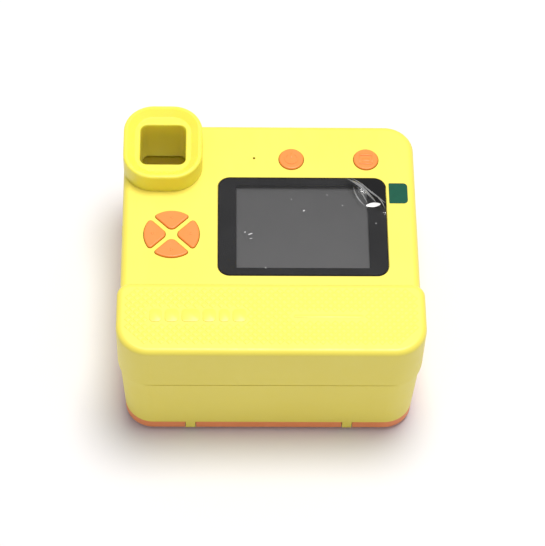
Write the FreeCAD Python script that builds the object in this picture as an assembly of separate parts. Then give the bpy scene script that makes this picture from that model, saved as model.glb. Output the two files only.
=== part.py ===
"""Kids instant-print digital camera, lying lens-down the way it rests on a table.

Row frame: +Z out of the rear (screen) face, +Y towards the camera's top side, +X towards its right-hand
side seen from behind.  The origin is the centre of the footprint, on the surface under the lens ring.
"""

import FreeCAD, Part

import math
import os

V = FreeCAD.Vector
X_AXIS = V(1, 0, 0)
Y_AXIS = V(0, 1, 0)
Z_AXIS = V(0, 0, 1)

# ---- driving dimensions, millimetres -------------------------------------------------------------

# body
body_width = 110.8
body_length = 107.8
wall = 2.0
low_corner_r = 12.0
top_corner_r = 11.0
draft = 1.2
rear_edge_r = 2.5
ring_proud = 1.5
cover_depth = 4.6
front_shell_depth = 29.6
rear_shell_depth = 14.0
part_gap = 0.12
cover_wall = 1.7
cover_rim = 1.8
cover_edge_r = 0.9

# eyepiece and viewfinder
eyepiece_w = 29.9
eyepiece_l = 33.8
eyepiece_h = 9.0
eyepiece_r = 11.5
column_gap = 0.4
eyepiece_overhang = 2.3
dish_rim = 1.5
dish_slope = 2.8
dish_depth = 2.0
sight_w = 17.2
sight_l = 18.2
sight_r = 2.7
sight_wall = 1.3
sight_lip_r = 0.6
sight_window_t = 1.2
eyepiece_edge_r = 0.9
front_window_lap = 1.4

# paper door
door_height = 9.0
door_length = 30.1
door_side_lap = 0.7
door_low_step = 0.1
door_crease_r = 4.8
door_edge_r = 2.2
door_gap = 0.35
door_open_gap = 0.15
door_skirt = 2.0
door_step = 0.8
door_slot_rise = 1.6
hinge_in = 3.85
hinge_up = 8.0
hinge_pin_r = 0.8
hinge_boss_r = 1.6
hinge_ear_x = 41.5
hinge_ear_t = 3.0
hinge_knuckle_t = 2.4
knuckle_gap = 0.3
ear_depth = 5.5
ear_nose = 3.5
ear_clear = 0.6
run_clear = 0.05

# screen
glass_w = 63.5
glass_l = 43.9
glass_r = 4.5
glass_t = 1.1
glass_from_right = 11.4
glass_from_crease = 8.7
glass_gap = 0.25
lcd_w = 55.0
lcd_l = 41.0
lcd_t = 2.1
lcd_r = 1.0
lcd_view_w = 51.0
lcd_view_l = 38.6
film_t = 0.12
film_inset = 0.3
film_tab_w = 7.1
film_tab_l = 9.2
film_tab_out = 1.2
film_tab_r = 1.6
film_tab_down = 2.25

# buttons
round_button_r = 4.7
round_button_from_top = 16.4
power_from_left = 63.8
mode_from_right = 18.5
button_proud = 0.7
button_clear = 0.2
button_travel = 0.6
button_flange = 1.0
button_stem_r = 1.5
button_flange_t = 0.9
button_edge_r = 0.5
pad_flange = 0.6
pad_stem_at = 0.62
stem_gap = 0.05
button_travel_gap = 0.2
pad_r = 10.4
pad_gap = 2.0
pad_from_left = 18.6
pad_from_crease = 26.7
pad_tip_r = 2.2
pad_corner_r = 1.0
mic_hole_r = 0.5
mic_left_of_power = 14.2
mic_from_top = 15.85
mic_r = 2.0
mic_h = 1.6
shutter_r = 7.0
shutter_from_right = 21.0
shutter_drop = 10.0
shutter_proud = 1.6
shutter_travel = 1.0
shutter_edge_r = 0.9
shutter_flange = 1.2
shutter_flange_t = 1.0
shutter_stem = 2.2
shutter_stem_r = 1.6

# boards
board_t = 1.6
board_below_rear = 9.6
board_margin = 10.0
board_left_margin = 5.2
board_post_r = 2.2
board_tube_gap = 2.0
switch_w = 4.5
switch_h = 1.9
plunger_r = 1.2
plunger_h = 0.5
shutter_switch_w = 6.0
shutter_switch_h = 3.3

# optics on the front
lens_y = 4.0
ring_r = 22.0
ring_neck_r = 20.0
ring_bore_r = 14.0
ring_ledge = 1.6
ring_edge_r = 0.7
lens_window_t = 1.2
ring_window_down = 0.6
lens_boss_h = 5.0
lens_boss_wall = 2.2
barrel_r = 6.5
barrel_wall = 1.3
barrel_l = 8.8
barrel_base_half = 8.5
barrel_base_t = 1.2
lens_stop = 1.2
lens_seat_gap = 0.3
front_lens_z1 = 2.7
front_lens_t = 2.5
front_lens_rim = 1.1
rear_lens_z0 = 5.0
rear_lens_t = 2.2
rear_lens_rim = 1.4
camera_board_w = 22.0
camera_board_t = 1.2
sensor_w = 6.4
sensor_t = 0.9
flash_x = 16.0
flash_y = 38.0
flash_r = 4.5
flash_down = 0.15
flash_ledge = 0.8
flash_board_w = 12.0
flash_board_t = 1.0
flash_led_w = 3.4
flash_led_t = 0.9

# printer
paper_w = 57.0
roll_r = 13.0
core_r = 6.0
core_wall = 1.2
roll_floor_gap = 3.6
roll_from_low = 16.6
roll_motor_gap = 0.3
platen_r = 4.0
platen_w = 57.2
platen_shaft_r = 1.5
platen_below_rear = 5.0
platen_from_crease = 4.25
head_gap = 0.3
head_t = 1.0
sink_t = 1.2
frame_inner = 31.2
frame_t = 2.0
arm_t = 1.6
arm_r = 3.4
arm_gap = 0.4
bush_r = 2.4
bush_gap = 0.2
gear_module = 0.5
platen_teeth = 18
idler_teeth = 30
pinion_teeth = 12
gear_t = 2.5
gear_x = 34.0
gear_clear = 1.2
pressure_angle = 20.0
tooth_backlash = 0.09
tooth_rise = 0.8
tooth_sink = 1.15
flank_steps = 4
idler_axle_r = 1.5
motor_r = 7.0
motor_l = 20.0
motor_shaft_r = 1.0
motor_boss_r = 2.0
motor_boss_h = 1.2
motor_end_t = 4.0
pinion_lean = -12.0
slot_w = 59.0
tear_bar_back = 1.2
tear_bar_gap = 0.1
tear_tooth_h = 0.8
tear_bar_below = 0.3
tear_tooth = 2.0
tear_bar_t = 0.8
spring_back = 4.8
back_wall_t = 1.4
spring_x = 14.0
spring_w = 6.0
spring_t = 0.3
cradle_wall = 2.0
cradle_gap = 0.5
notch_clear = 0.45
motor_clear = 0.7
frame_top_gap = 0.6
head_below = 4.6
head_above = 2.2
shaft_end = 0.6

# power, sound, ports, strap
battery_w = 34.0
battery_l = 40.0
battery_t = 8.0
speaker_r = 10.0
speaker_t = 4.2
speaker_x_from_left = 19.0
speaker_y = 3.0
speaker_hole_r = 0.7
speaker_rings = ((6, 2.8), (12, 5.6))
battery_side_gap = 3.0
port_flap_l = 27.0
port_flap_w = 8.8
port_flap_t = 1.5
port_pad = 1.2
port_from_crease = 9.0
port_flap_gap = 0.2
port_flap_below = 2.1
port_gap = 0.15
usb_w = 9.0
usb_h = 3.2
usb_l = 7.4
usb_wall = 0.4
usb_tongue = 0.8
card_w = 11.2
card_h = 1.1
card_l = 14.0
card_wall = 0.4
usb_at = 0.34
card_at = 0.74
strap_pocket_l = 13.0
strap_pocket_h = 14.0
strap_pocket_d = 6.0
strap_bar_r = 1.0
strap_from_top = 26.0
strap_below_seam = 3.0
strap_bar_in = 2.6
strap_bar_seat = 1.2

# screws and snap tabs
post_r = 3.2
post_step = 0.4
screw_r = 0.95
screw_head_r = 1.9
screw_head_h = 1.5
small_screw_r = 0.8
small_head_r = 1.6
small_head_h = 1.1
screw_clear = 0.2
head_clear = 0.3
case_screw_l = 15.5
board_screw_l = 5.0
frame_screw_l = 3.4
frame_head_h = 1.2
head_seat = 8.0
driver_slot = 0.5
post_in = 6.4
frame_flange_w = 5.4
frame_screw_in = 2.6
tab_w = 3.6
tab_x = 29.5
tab_t = 1.4
tab_gap = 0.3

# ---- levels and places worked out from them ------------------------------------------------------

half_w = body_width / 2
y_low = -(body_length + eyepiece_overhang) / 2
y_top = y_low + body_length
z_cover = ring_proud
z_front = z_cover + cover_depth
z_floor = z_front + wall
z_window = z_cover + cover_wall
z_seam = z_front + front_shell_depth
z_rear = z_seam + rear_shell_depth
z_ceiling = z_rear - wall
z_door_low = z_seam + part_gap
z_door_top = z_rear + door_height
y_door_low = y_low + door_low_step
y_crease = y_door_low + door_length
y_rear_edge = y_crease + door_gap
hinge_y = y_door_low + hinge_in
hinge_z = z_door_low + hinge_up
swing_r = math.hypot(hinge_in, hinge_up)
eye_x0 = -half_w
eye_x1 = eye_x0 + eyepiece_w
eye_y1 = y_top + eyepiece_overhang
eye_y0 = eye_y1 - eyepiece_l
eye_x = (eye_x0 + eye_x1) / 2
eye_y = (eye_y0 + eye_y1) / 2
sight_out_w = sight_w + 2 * sight_wall
sight_out_l = sight_l + 2 * sight_wall
glass_x = half_w - glass_from_right - glass_w / 2
glass_y = y_crease + glass_from_crease + glass_l / 2
power_x = -half_w + power_from_left
mode_x = half_w - mode_from_right
round_y = y_top - round_button_from_top
mic_x = power_x - mic_left_of_power
mic_y = y_top - mic_from_top
pad_x = -half_w + pad_from_left
pad_y = y_crease + pad_from_crease
board_z1 = z_rear - board_below_rear + board_t
board_z0 = board_z1 - board_t
platen_y = y_crease - platen_from_crease
platen_z = z_rear - platen_below_rear
head_y = platen_y + platen_r + head_gap
speaker_x = -half_w + speaker_x_from_left
knuckle_out = hinge_ear_x + hinge_ear_t / 2 + knuckle_gap
knuckle_in = hinge_ear_x - hinge_ear_t / 2 - knuckle_gap - hinge_knuckle_t
hinge_reach = knuckle_out + hinge_knuckle_t
door_half_w = half_w + door_side_lap
door_step_half = gear_x + gear_t + gear_clear
tear_bar_y = y_rear_edge + tear_bar_back
frame_low_y = y_low + wall + draft + knuckle_gap
spring_wall_y = head_y + spring_back
strap_y = y_top - strap_from_top
strap_z = z_seam - strap_below_seam - strap_pocket_h / 2
strap_bar_x = half_w - strap_bar_in
barrel_base_z = z_floor + lens_boss_h
barrel_low = barrel_base_z - barrel_l
screw_posts = (
    (eye_x1 + 1.2, y_top - post_in),
    (half_w - post_in, y_top - post_in),
    (-half_w + post_in, y_crease + post_in),
    (half_w - post_in, y_crease + post_in),
)

nodes = {}


# ---- shape helpers -------------------------------------------------------------------------------


def rounded_wire(x0, x1, y0, y1, radii, z):
    """Rounded rectangle; radii run from the low-left corner round to the top-left one."""
    corners = ((x0, y0, 1, 1), (x1, y0, -1, 1), (x1, y1, -1, -1), (x0, y1, 1, -1))
    starts = (180, 270, 0, 90)
    arcs = []
    for (cx, cy, sx, sy), radius, start in zip(corners, radii, starts):
        centre = V(cx + sx * radius, cy + sy * radius, z)
        points = []
        for step in (0, 45, 90):
            angle = math.radians(start + step)
            points.append(centre + V(radius * math.cos(angle), radius * math.sin(angle), 0))
        arcs.append(points)
    edges = []
    for index, points in enumerate(arcs):
        edges.append(Part.Arc(*points).toShape())
        following = arcs[(index + 1) % len(arcs)][0]
        if points[2].distanceToPoint(following) > 1e-6:
            edges.append(Part.makeLine(points[2], following))
    return Part.Wire(edges)


def slab(x0, x1, y0, y1, radius, z0, z1):
    """Upright block with rounded plan corners; radius is one value or four."""
    radii = radius if isinstance(radius, tuple) else (radius,) * 4
    face = Part.Face(rounded_wire(x0, x1, y0, y1, radii, z0))
    return face.extrude(V(0, 0, z1 - z0))


def centred_slab(x, y, width, length, radius, grow, z0, z1):
    """Rounded block about an upright line, grown all round by grow."""
    half_x = width / 2 + grow
    half_y = length / 2 + grow
    return slab(x - half_x, x + half_x, y - half_y, y + half_y, radius + grow, z0, z1)


def tapered(x0, x1, y0, y1, radii, z0, z1, low, high):
    """Block between z0 and z1 whose outline is set in by low at z0 and by high at z1."""
    wires = []
    for z, inset in ((z0, low), (z1, high)):
        shrunk = tuple(r - inset for r in radii)
        wires.append(rounded_wire(x0 + inset, x1 - inset, y0 + inset, y1 - inset, shrunk, z))
    return Part.makeLoft(wires, True, True)


def box(x0, x1, y0, y1, z0, z1):
    return Part.makeBox(x1 - x0, y1 - y0, z1 - z0, V(x0, y0, z0))


def rod(x, y, z0, z1, radius):
    return Part.makeCylinder(radius, z1 - z0, V(x, y, z0), Z_AXIS)


def cross_rod(x0, x1, y, z, radius):
    return Part.makeCylinder(radius, x1 - x0, V(x0, y, z), X_AXIS)


def side_plate(points, x0, x1):
    """Plate between x0 and x1 with a straight-sided outline in the YZ plane."""
    loop = [V(x0, y, z) for y, z in points]
    loop.append(loop[0])
    return Part.Face(Part.makePolygon(loop)).extrude(V(x1 - x0, 0, 0))


def fuse(first, *others):
    return first.fuse(list(others)).removeSplitter()


def rounded_edges(shape, radius, wanted):
    edges = [edge for edge in shape.Edges if wanted(edge)]
    return shape.makeFillet(radius, edges)


def at_height(z):
    """Picks the edges that lie flat at height z."""
    def wanted(edge):
        bounds = edge.BoundBox
        return abs(bounds.ZMin - z) < 1e-4 and abs(bounds.ZMax - z) < 1e-4
    return wanted


def upright(edge):
    bounds = edge.BoundBox
    return bounds.ZLength > 0.1 and bounds.XLength < 1e-4 and bounds.YLength < 1e-4


def mirrored_x(shape):
    return shape.mirror(V(0, 0, 0), X_AXIS)


def both_sides(shape):
    return [shape, mirrored_x(shape)]


def gear(teeth, y, z, x0, phase, bore):
    """Spur gear about a line along X, with involute flanks; phase turns its first tooth from +Y."""
    pitch_r = gear_module * teeth / 2
    pressure_at_pitch = math.radians(pressure_angle)
    base_r = pitch_r * math.cos(pressure_at_pitch)
    tip_r = pitch_r + tooth_rise * gear_module
    root_r = pitch_r - tooth_sink * gear_module
    half_tooth = math.pi / (2 * teeth) - tooth_backlash / pitch_r
    involute_at_pitch = math.tan(pressure_at_pitch) - pressure_at_pitch
    flank = [(root_r, half_tooth + involute_at_pitch)]
    low_r = max(base_r, root_r)
    for step in range(flank_steps + 1):
        radius = low_r + (tip_r - low_r) * step / flank_steps
        pressure = math.acos(min(1, base_r / radius))
        flank.append((radius, half_tooth + involute_at_pitch - (math.tan(pressure) - pressure)))
    points = []
    for index in range(teeth):
        centre = math.radians(phase) + 2 * math.pi * index / teeth
        for radius, offset in flank:
            points.append((radius, centre - offset))
        for radius, offset in reversed(flank):
            points.append((radius, centre + offset))
    outline = [(y + r * math.cos(a), z + r * math.sin(a)) for r, a in points]
    blank = side_plate(outline, x0, x0 + gear_t)
    return blank.cut(cross_rod(x0 - 1, x0 + gear_t + 1, y, z, bore))


# ---- shells --------------------------------------------------------------------------------------


def body_block(z0, z1, low, high):
    radii = (low_corner_r, low_corner_r, top_corner_r, top_corner_r)
    return tapered(-half_w, half_w, y_low, y_top, radii, z0, z1, low, high)


def eye_opening(extra, z0, z1):
    half_x = sight_out_w / 2 + extra
    half_y = sight_out_l / 2 + extra
    radius = sight_r + sight_wall + extra
    return slab(eye_x - half_x, eye_x + half_x, eye_y - half_y, eye_y + half_y, radius, z0, z1)


def speaker_holes(z0, z1):
    holes = [rod(speaker_x, speaker_y, z0, z1, speaker_hole_r)]
    for count, ring in speaker_rings:
        for index in range(count):
            angle = 2 * math.pi * index / count
            x = speaker_x + ring * math.cos(angle)
            y = speaker_y + ring * math.sin(angle)
            holes.append(rod(x, y, z0, z1, speaker_hole_r))
    return holes


def make_front_cover():
    top = z_front - part_gap
    plate = body_block(z_cover, top, draft + run_clear, draft)
    plate = rounded_edges(plate, cover_edge_r, at_height(z_cover))
    inset = column_gap + draft
    column = slab(
        eye_x0 + inset, eye_x1 - inset, eye_y0, eye_y1 - inset, eyepiece_r - inset, z_cover, top,
    )
    column = rounded_edges(column, cover_edge_r - 0.2, at_height(z_cover))
    cover = fuse(plate, column)
    pocket_inset = draft + cover_rim
    cover = cover.cut(body_block(z_window, z_front + 1, pocket_inset, pocket_inset))
    half_notch = tab_w / 2 + tab_gap
    notch_y = y_low + draft + tab_t + tab_gap
    cuts = [
        rod(0, lens_y, 0, z_front, ring_neck_r + part_gap),
        rod(flash_x, flash_y, 0, z_front, flash_r + part_gap),
        eye_opening(-sight_wall - front_window_lap, 0, z_front),
        eye_opening(part_gap, z_window, z_front),
    ]
    for x in (-tab_x, tab_x):
        cuts.append(box(x - half_notch, x + half_notch, y_low - 1, notch_y, 0, z_front))
    cuts.extend(speaker_holes(0, z_front))
    return cover.cut(cuts)


def strap_pocket(grow, x1):
    """The pocket behind the strap bar, opening in the right-hand side."""
    half_l = strap_pocket_l / 2 + grow
    half_h = strap_pocket_h / 2 + grow
    x0 = half_w - draft - strap_pocket_d - grow
    return box(x0, x1, strap_y - half_l, strap_y + half_l, strap_z - half_h, strap_z + half_h)


def strap_rod():
    half = strap_pocket_h / 2 + strap_bar_seat
    return rod(strap_bar_x, strap_y, strap_z - half, strap_z + half, strap_bar_r)


def make_front_shell():
    shell = body_block(z_front, z_seam, draft, 0)
    column = tapered(
        eye_x0 + column_gap, eye_x1 - column_gap, eye_y0 - wall, eye_y1 - column_gap,
        (eyepiece_r,) * 4, z_front, z_seam, draft, 0,
    )
    shell = fuse(shell, column)
    floor_draft = draft * (z_seam - z_floor) / front_shell_depth
    shell = shell.cut(body_block(z_floor, z_seam, floor_draft + wall, wall))
    adds = [
        rod(0, lens_y, z_front, barrel_base_z, barrel_r + lens_boss_wall),
        strap_pocket(wall, half_w - wall),
    ]
    tab_y = y_low + draft + run_clear
    for x in (-tab_x, tab_x):
        tab = box(x - tab_w / 2, x + tab_w / 2, tab_y, tab_y + tab_t, z_cover + column_gap, z_floor)
        adds.append(tab)
    for x, y in screw_posts:
        adds.append(rod(x, y, z_front + 0.5, z_seam, post_r))
    adds.extend(hinge_ear_feet())
    shell = fuse(shell, *adds)
    cuts = [
        cross_rod(-half_w, half_w, hinge_y, hinge_z, swing_r + door_open_gap),
        strap_pocket(0, half_w + 1),
        strap_rod(),
        rod(0, lens_y, 0, barrel_base_z + 1, barrel_r + part_gap),
        rod(flash_x, flash_y, 0, z_floor + 1, flash_r - flash_ledge),
        eye_opening(part_gap, 0, z_seam + 1),
        shutter_hole(),
    ]
    for x, y in screw_posts:
        cuts.append(rod(x, y, 0, z_seam - head_seat, screw_head_r + head_clear))
        cuts.append(rod(x, y, 0, z_seam + 1, screw_r + screw_clear))
    for x, y in frame_screw_places():
        cuts.append(rod(x, y, z_front + 0.5, z_floor + 1, screw_r))
    cuts.extend(speaker_holes(0, z_floor + 1))
    return fuse(shell.cut(cuts), *hinge_ears())


def ear_outline():
    """Hinge ear: a foot on the floor, a neck above the door's swing, and a nose round the pin."""
    neck_y = hinge_y + swing_r + ear_clear
    back_y = neck_y + ear_depth
    return (
        (neck_y, z_floor - 0.5), (back_y, z_floor - 0.5), (back_y, hinge_z),
        (back_y - ear_nose, hinge_z + hinge_boss_r), (hinge_y, hinge_z + hinge_boss_r),
        (hinge_y, hinge_z - hinge_boss_r), (neck_y, hinge_z - hinge_boss_r),
    )


def hinge_ear_feet():
    """The feet of the ears, up to the parting line and so clear of the swing of the door."""
    low_neck, low_back = ear_outline()[:2]
    foot = (low_neck, low_back, (low_back[0], z_door_low), (low_neck[0], z_door_low))
    half_t = hinge_ear_t / 2
    return [side_plate(foot, x - half_t, x + half_t) for x in (-hinge_ear_x, hinge_ear_x)]


def hinge_ears():
    ears = []
    for x in (-hinge_ear_x, hinge_ear_x):
        x0 = x - hinge_ear_t / 2
        x1 = x0 + hinge_ear_t
        boss = cross_rod(x0, x1, hinge_y, hinge_z, hinge_boss_r)
        plate = side_plate(ear_outline(), x0, x1).fuse(boss)
        ears.append(plate.cut(cross_rod(x0 - 1, x1 + 1, hinge_y, hinge_z, hinge_pin_r)))
    return ears


def sector_blank(x, y, turn, grow, z0, z1):
    """One direction key: a quarter of a disc between two diagonal gaps, its tip and corners rounded."""
    half_gap = pad_gap / 2 - grow
    outer = pad_r + grow
    tip = half_gap * math.sqrt(2)
    along = (tip + math.sqrt(2 * outer ** 2 - tip ** 2)) / 2
    start = V(tip, 0, z0)
    right = V(along, tip - along, z0)
    left = V(along, along - tip, z0)
    wire = Part.Wire([
        Part.makeLine(start, right),
        Part.Arc(right, V(outer, 0, z0), left).toShape(),
        Part.makeLine(left, start),
    ])
    blank = Part.Face(wire).extrude(V(0, 0, z1 - z0))
    tips = [edge for edge in blank.Edges if upright(edge) and edge.BoundBox.XMin < tip + 0.1]
    blank = blank.makeFillet(pad_tip_r + grow, tips)
    corners = [edge for edge in blank.Edges if upright(edge) and edge.BoundBox.XMin > outer / 2]
    blank = blank.makeFillet(pad_corner_r + grow, corners)
    blank.rotate(V(0, 0, 0), Z_AXIS, turn)
    blank.translate(V(x, y, 0))
    return blank


def make_rear_shell():
    radii = (0.3, 0.3, top_corner_r, top_corner_r)
    shell = slab(-half_w, half_w, y_rear_edge, y_top, radii, z_seam + part_gap, z_rear)

    def rear_outline(edge):
        return at_height(z_rear)(edge) and edge.BoundBox.YMax > y_rear_edge + 0.5
    shell = rounded_edges(shell, rear_edge_r, rear_outline)
    column = slab(eye_x0, eye_x1, eye_y0, eye_y1, eyepiece_r, z_seam + part_gap, z_rear)
    shell = fuse(shell, column)
    cavity = slab(
        -half_w + wall, half_w - wall, y_rear_edge - 5, y_top - wall,
        (0.3, 0.3, top_corner_r - wall, top_corner_r - wall), z_seam - 1, z_ceiling,
    )
    shell = shell.cut(cavity)
    root = z_ceiling + 0.5
    adds = [rod(x, y, z_seam + part_gap, root, post_r - post_step) for x, y in screw_posts]
    adds.extend(rod(x, y, board_z1, root, board_post_r) for x, y in board_screw_places())
    y0, y1, z0, z1 = port_recess()
    pad_x0 = -half_w + wall - 0.5
    pad_x1 = -half_w + wall + port_pad
    adds.append(box(pad_x0, pad_x1, y0 - port_pad, y1 + port_pad, z0 - port_pad, root))
    shell = fuse(shell, *adds)
    low = z_ceiling - 1
    high = z_rear + 1
    slot_y1 = tear_bar_y + tear_bar_t + tear_bar_gap
    cuts = [
        centred_slab(glass_x, glass_y, glass_w, glass_l, glass_r, glass_gap, z_rear - glass_t, high),
        centred_slab(glass_x, glass_y, lcd_view_w, lcd_view_l, lcd_r, 0, low, z_rear),
        rod(power_x, round_y, low, high, round_button_r + button_clear),
        rod(mode_x, round_y, low, high, round_button_r + button_clear),
        rod(mic_x, mic_y, low, high, mic_hole_r),
        box(-slot_w / 2, slot_w / 2, y_rear_edge - 1, slot_y1, low, high),
        eye_opening(part_gap, z_seam - 1, high),
        box(-half_w - 1, -half_w + port_flap_t + 0.1, y0, y1, z0, z1),
    ]
    for turn in range(4):
        cuts.append(sector_blank(pad_x, pad_y, 90 * turn, button_clear, low, high))
    for x, y in screw_posts:
        cuts.append(rod(x, y, z_seam - 1, z_seam + head_seat, screw_r))
    for x, y in board_screw_places():
        cuts.append(rod(x, y, board_z0, low, small_screw_r))
    cuts.extend(port_openings())
    return shell.cut(cuts)


# ---- eyepiece and viewfinder ---------------------------------------------------------------------


def inset_eye(inset, z):
    radius = eyepiece_r - inset
    return rounded_wire(
        eye_x0 + inset, eye_x1 - inset, eye_y0 + inset, eye_y1 - inset, (radius,) * 4, z,
    )


def make_eyepiece():
    top = z_rear + eyepiece_h
    hood = slab(eye_x0, eye_x1, eye_y0, eye_y1, eyepiece_r, z_rear, top)
    hood = rounded_edges(hood, eyepiece_edge_r, at_height(top))
    dish_rims = [
        inset_eye(dish_rim + dish_slope, top - dish_depth),
        inset_eye(dish_rim, top + 0.01),
    ]
    hood = hood.cut(Part.makeLoft(dish_rims, True, True))
    tube = eye_opening(0, z_seam + sight_window_t / 2, z_rear + 1)
    hood = fuse(hood, tube)
    bore = eye_opening(-sight_wall, z_seam, top + 1)
    hood = hood.cut(bore)
    lip = top - dish_depth

    def lip_edge(edge):
        bounds = edge.BoundBox
        reach = max(bounds.XMax - eye_x, eye_x - bounds.XMin)
        return at_height(lip)(edge) and reach < sight_w / 2 + 0.1
    return rounded_edges(hood, sight_lip_r, lip_edge)


def make_viewfinder_tube():
    tube = eye_opening(0, z_window + sight_window_t, z_seam - sight_window_t / 2)
    return tube.cut(eye_opening(-sight_wall, 0, z_seam))


def make_eyepiece_window():
    return eye_opening(0, z_seam - sight_window_t / 2, z_seam + sight_window_t / 2)


def make_front_window():
    return eye_opening(0, z_window, z_window + sight_window_t)


# ---- paper door and its hinge --------------------------------------------------------------------


def door_block(radii, z0, z1):
    return slab(-door_half_w, door_half_w, y_door_low, y_crease, radii, z0, z1)


def door_arm(side):
    """Cheek that carries one end of the platen on the free edge of the door."""
    x0 = min(side * (platen_w / 2 + arm_gap), side * (platen_w / 2 + arm_gap + arm_t))
    roof = z_door_top - wall + 0.5
    arm = box(x0, x0 + arm_t, platen_y - arm_r, platen_y + arm_r, platen_z, roof)
    return arm.fuse(cross_rod(x0, x0 + arm_t, platen_y, platen_z, arm_r))


def door_knuckle(side, start):
    x0 = min(side * start, side * (start + hinge_knuckle_t))
    x1 = x0 + hinge_knuckle_t
    low = hinge_z - hinge_boss_r
    web = box(x0, x1, y_door_low + wall - 0.5, hinge_y, low, hinge_z + hinge_boss_r)
    return web.fuse(cross_rod(x0, x1, hinge_y, hinge_z, hinge_boss_r))


def make_paper_door():
    radii = (low_corner_r, low_corner_r, door_crease_r, door_crease_r)
    door = door_block(radii, z_door_low, z_door_top)
    door = rounded_edges(door, door_edge_r, at_height(z_door_top))
    skirt = door_block(radii, z_door_low - door_skirt, z_door_low + 1)
    skirt = skirt.common(cross_rod(-door_half_w, door_half_w, hinge_y, hinge_z, swing_r))
    inner = tuple(r - wall for r in radii)
    inner_half = door_half_w - wall
    step_y = y_crease - wall
    cavity = slab(
        -inner_half, inner_half, y_door_low + wall, step_y, inner, z_door_low - door_skirt - 1,
        z_door_top - wall,
    )
    door = fuse(door, skirt).cut([
        cavity,
        box(-inner_half, inner_half, step_y - 1, y_crease + 1, z_door_low - 1, z_rear - door_step),
        box(
            -door_step_half, door_step_half, step_y - 1, y_crease + 1, z_door_low - 1,
            z_rear + door_slot_rise,
        ),
    ])
    adds = []
    for side in (-1, 1):
        adds.append(door_arm(side))
        adds.append(door_knuckle(side, knuckle_in))
        adds.append(door_knuckle(side, knuckle_out))
    bush_reach = platen_w / 2 + arm_gap + arm_t + 1
    return fuse(door, *adds).cut([
        cross_rod(-hinge_reach, hinge_reach, hinge_y, hinge_z, hinge_pin_r + run_clear),
        cross_rod(-bush_reach, bush_reach, platen_y, platen_z, bush_r),
    ])


def make_door_hinge_pin():
    return cross_rod(-hinge_reach, hinge_reach, hinge_y, hinge_z, hinge_pin_r)


# ---- screen --------------------------------------------------------------------------------------


def make_screen_glass():
    return centred_slab(glass_x, glass_y, glass_w, glass_l, glass_r, 0, z_rear - glass_t, z_rear)


def make_lcd_module():
    return centred_slab(glass_x, glass_y, lcd_w, lcd_l, lcd_r, 0, z_ceiling - lcd_t, z_ceiling)


def make_screen_film():
    return centred_slab(glass_x, glass_y, glass_w, glass_l, glass_r, -film_inset, z_rear, z_rear + film_t)


def make_film_tab():
    x0 = glass_x + glass_w / 2 + film_tab_out
    y1 = glass_y + glass_l / 2 - film_tab_down
    radii = (0.4, film_tab_r, film_tab_r, 0.4)
    return slab(x0, x0 + film_tab_w, y1 - film_tab_l, y1, radii, z_rear, z_rear + film_t)


# ---- buttons -------------------------------------------------------------------------------------


def stem_low():
    return board_z1 + switch_h + button_travel + stem_gap


def button_levels():
    """Top of a rear button, foot of its cap, and the low and high faces of its flange."""
    flange_z1 = z_ceiling - button_travel_gap
    return z_rear + button_proud, flange_z1 - 0.2, flange_z1 - button_flange_t, flange_z1


def make_round_button(x):
    top, cap_z, flange_z0, flange_z1 = button_levels()
    cap = rod(x, round_y, cap_z, top, round_button_r)
    cap = rounded_edges(cap, button_edge_r, at_height(top))
    flange = rod(x, round_y, flange_z0, flange_z1, round_button_r + button_flange)
    return fuse(cap, flange, rod(x, round_y, stem_low(), flange_z1, button_stem_r))


def make_pad_button(turn):
    top, cap_z, flange_z0, flange_z1 = button_levels()
    cap = sector_blank(pad_x, pad_y, turn, 0, cap_z, top)
    cap = rounded_edges(cap, button_edge_r, at_height(top))
    flange = sector_blank(pad_x, pad_y, turn, pad_flange, flange_z0, flange_z1)
    x, y = pad_stem(turn)
    return fuse(cap, flange, rod(x, y, stem_low(), flange_z1, button_stem_r))


def pad_stem(turn):
    reach = pad_r * pad_stem_at
    angle = math.radians(turn)
    return pad_x + reach * math.cos(angle), pad_y + reach * math.sin(angle)


def shutter_place():
    return half_w - shutter_from_right, z_seam - shutter_drop


def shutter_inner_y():
    return y_top - wall - draft


def shutter_hole():
    x, z = shutter_place()
    return Part.makeCylinder(shutter_r + button_clear, wall + 4, V(x, y_top - wall - 3, z), Y_AXIS)


def make_shutter_button():
    x, z = shutter_place()
    inner = shutter_inner_y()
    height = y_top - draft / 2 + shutter_proud - inner
    cap = Part.makeCylinder(shutter_r, height, V(x, inner, z), Y_AXIS)
    top_y = cap.BoundBox.YMax

    def top_edge(edge):
        return edge.BoundBox.YMin > top_y - 1e-4
    cap = rounded_edges(cap, shutter_edge_r, top_edge)
    flange_y = inner - shutter_flange_t + 0.2
    flange = Part.makeCylinder(shutter_r + shutter_flange, shutter_flange_t, V(x, flange_y, z), Y_AXIS)
    stem = Part.makeCylinder(shutter_stem_r, shutter_stem, V(x, inner - shutter_stem, z), Y_AXIS)
    return fuse(cap, flange, stem)


def make_shutter_switch():
    """Switch under the shutter button, and the upright board that carries it."""
    x, z = shutter_place()
    half = shutter_switch_w / 2
    top = shutter_inner_y() - shutter_stem - shutter_travel - stem_gap
    body_y = top - plunger_h
    low = body_y - shutter_switch_h
    body = box(x - half, x + half, low, body_y, z - half, z + half)
    plunger = Part.makeCylinder(plunger_r, plunger_h + 0.2, V(x, body_y - 0.2, z), Y_AXIS)
    carrier = box(x - 3 * half, x + 3 * half, low - board_t, low, z_floor, z + half + 2)
    return fuse(body, plunger), carrier


# ---- boards and what is on them ------------------------------------------------------------------


def board_screw_places():
    left = pad_x + pad_r + 2 * board_post_r
    low = y_crease + board_margin + 2 * board_post_r
    return (
        (left, low), (left, glass_y + glass_l / 2 - 2 * board_post_r),
        ((power_x + mode_x) / 2, round_y + 3), (glass_x + glass_w / 2 - small_head_r, low),
    )


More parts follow.
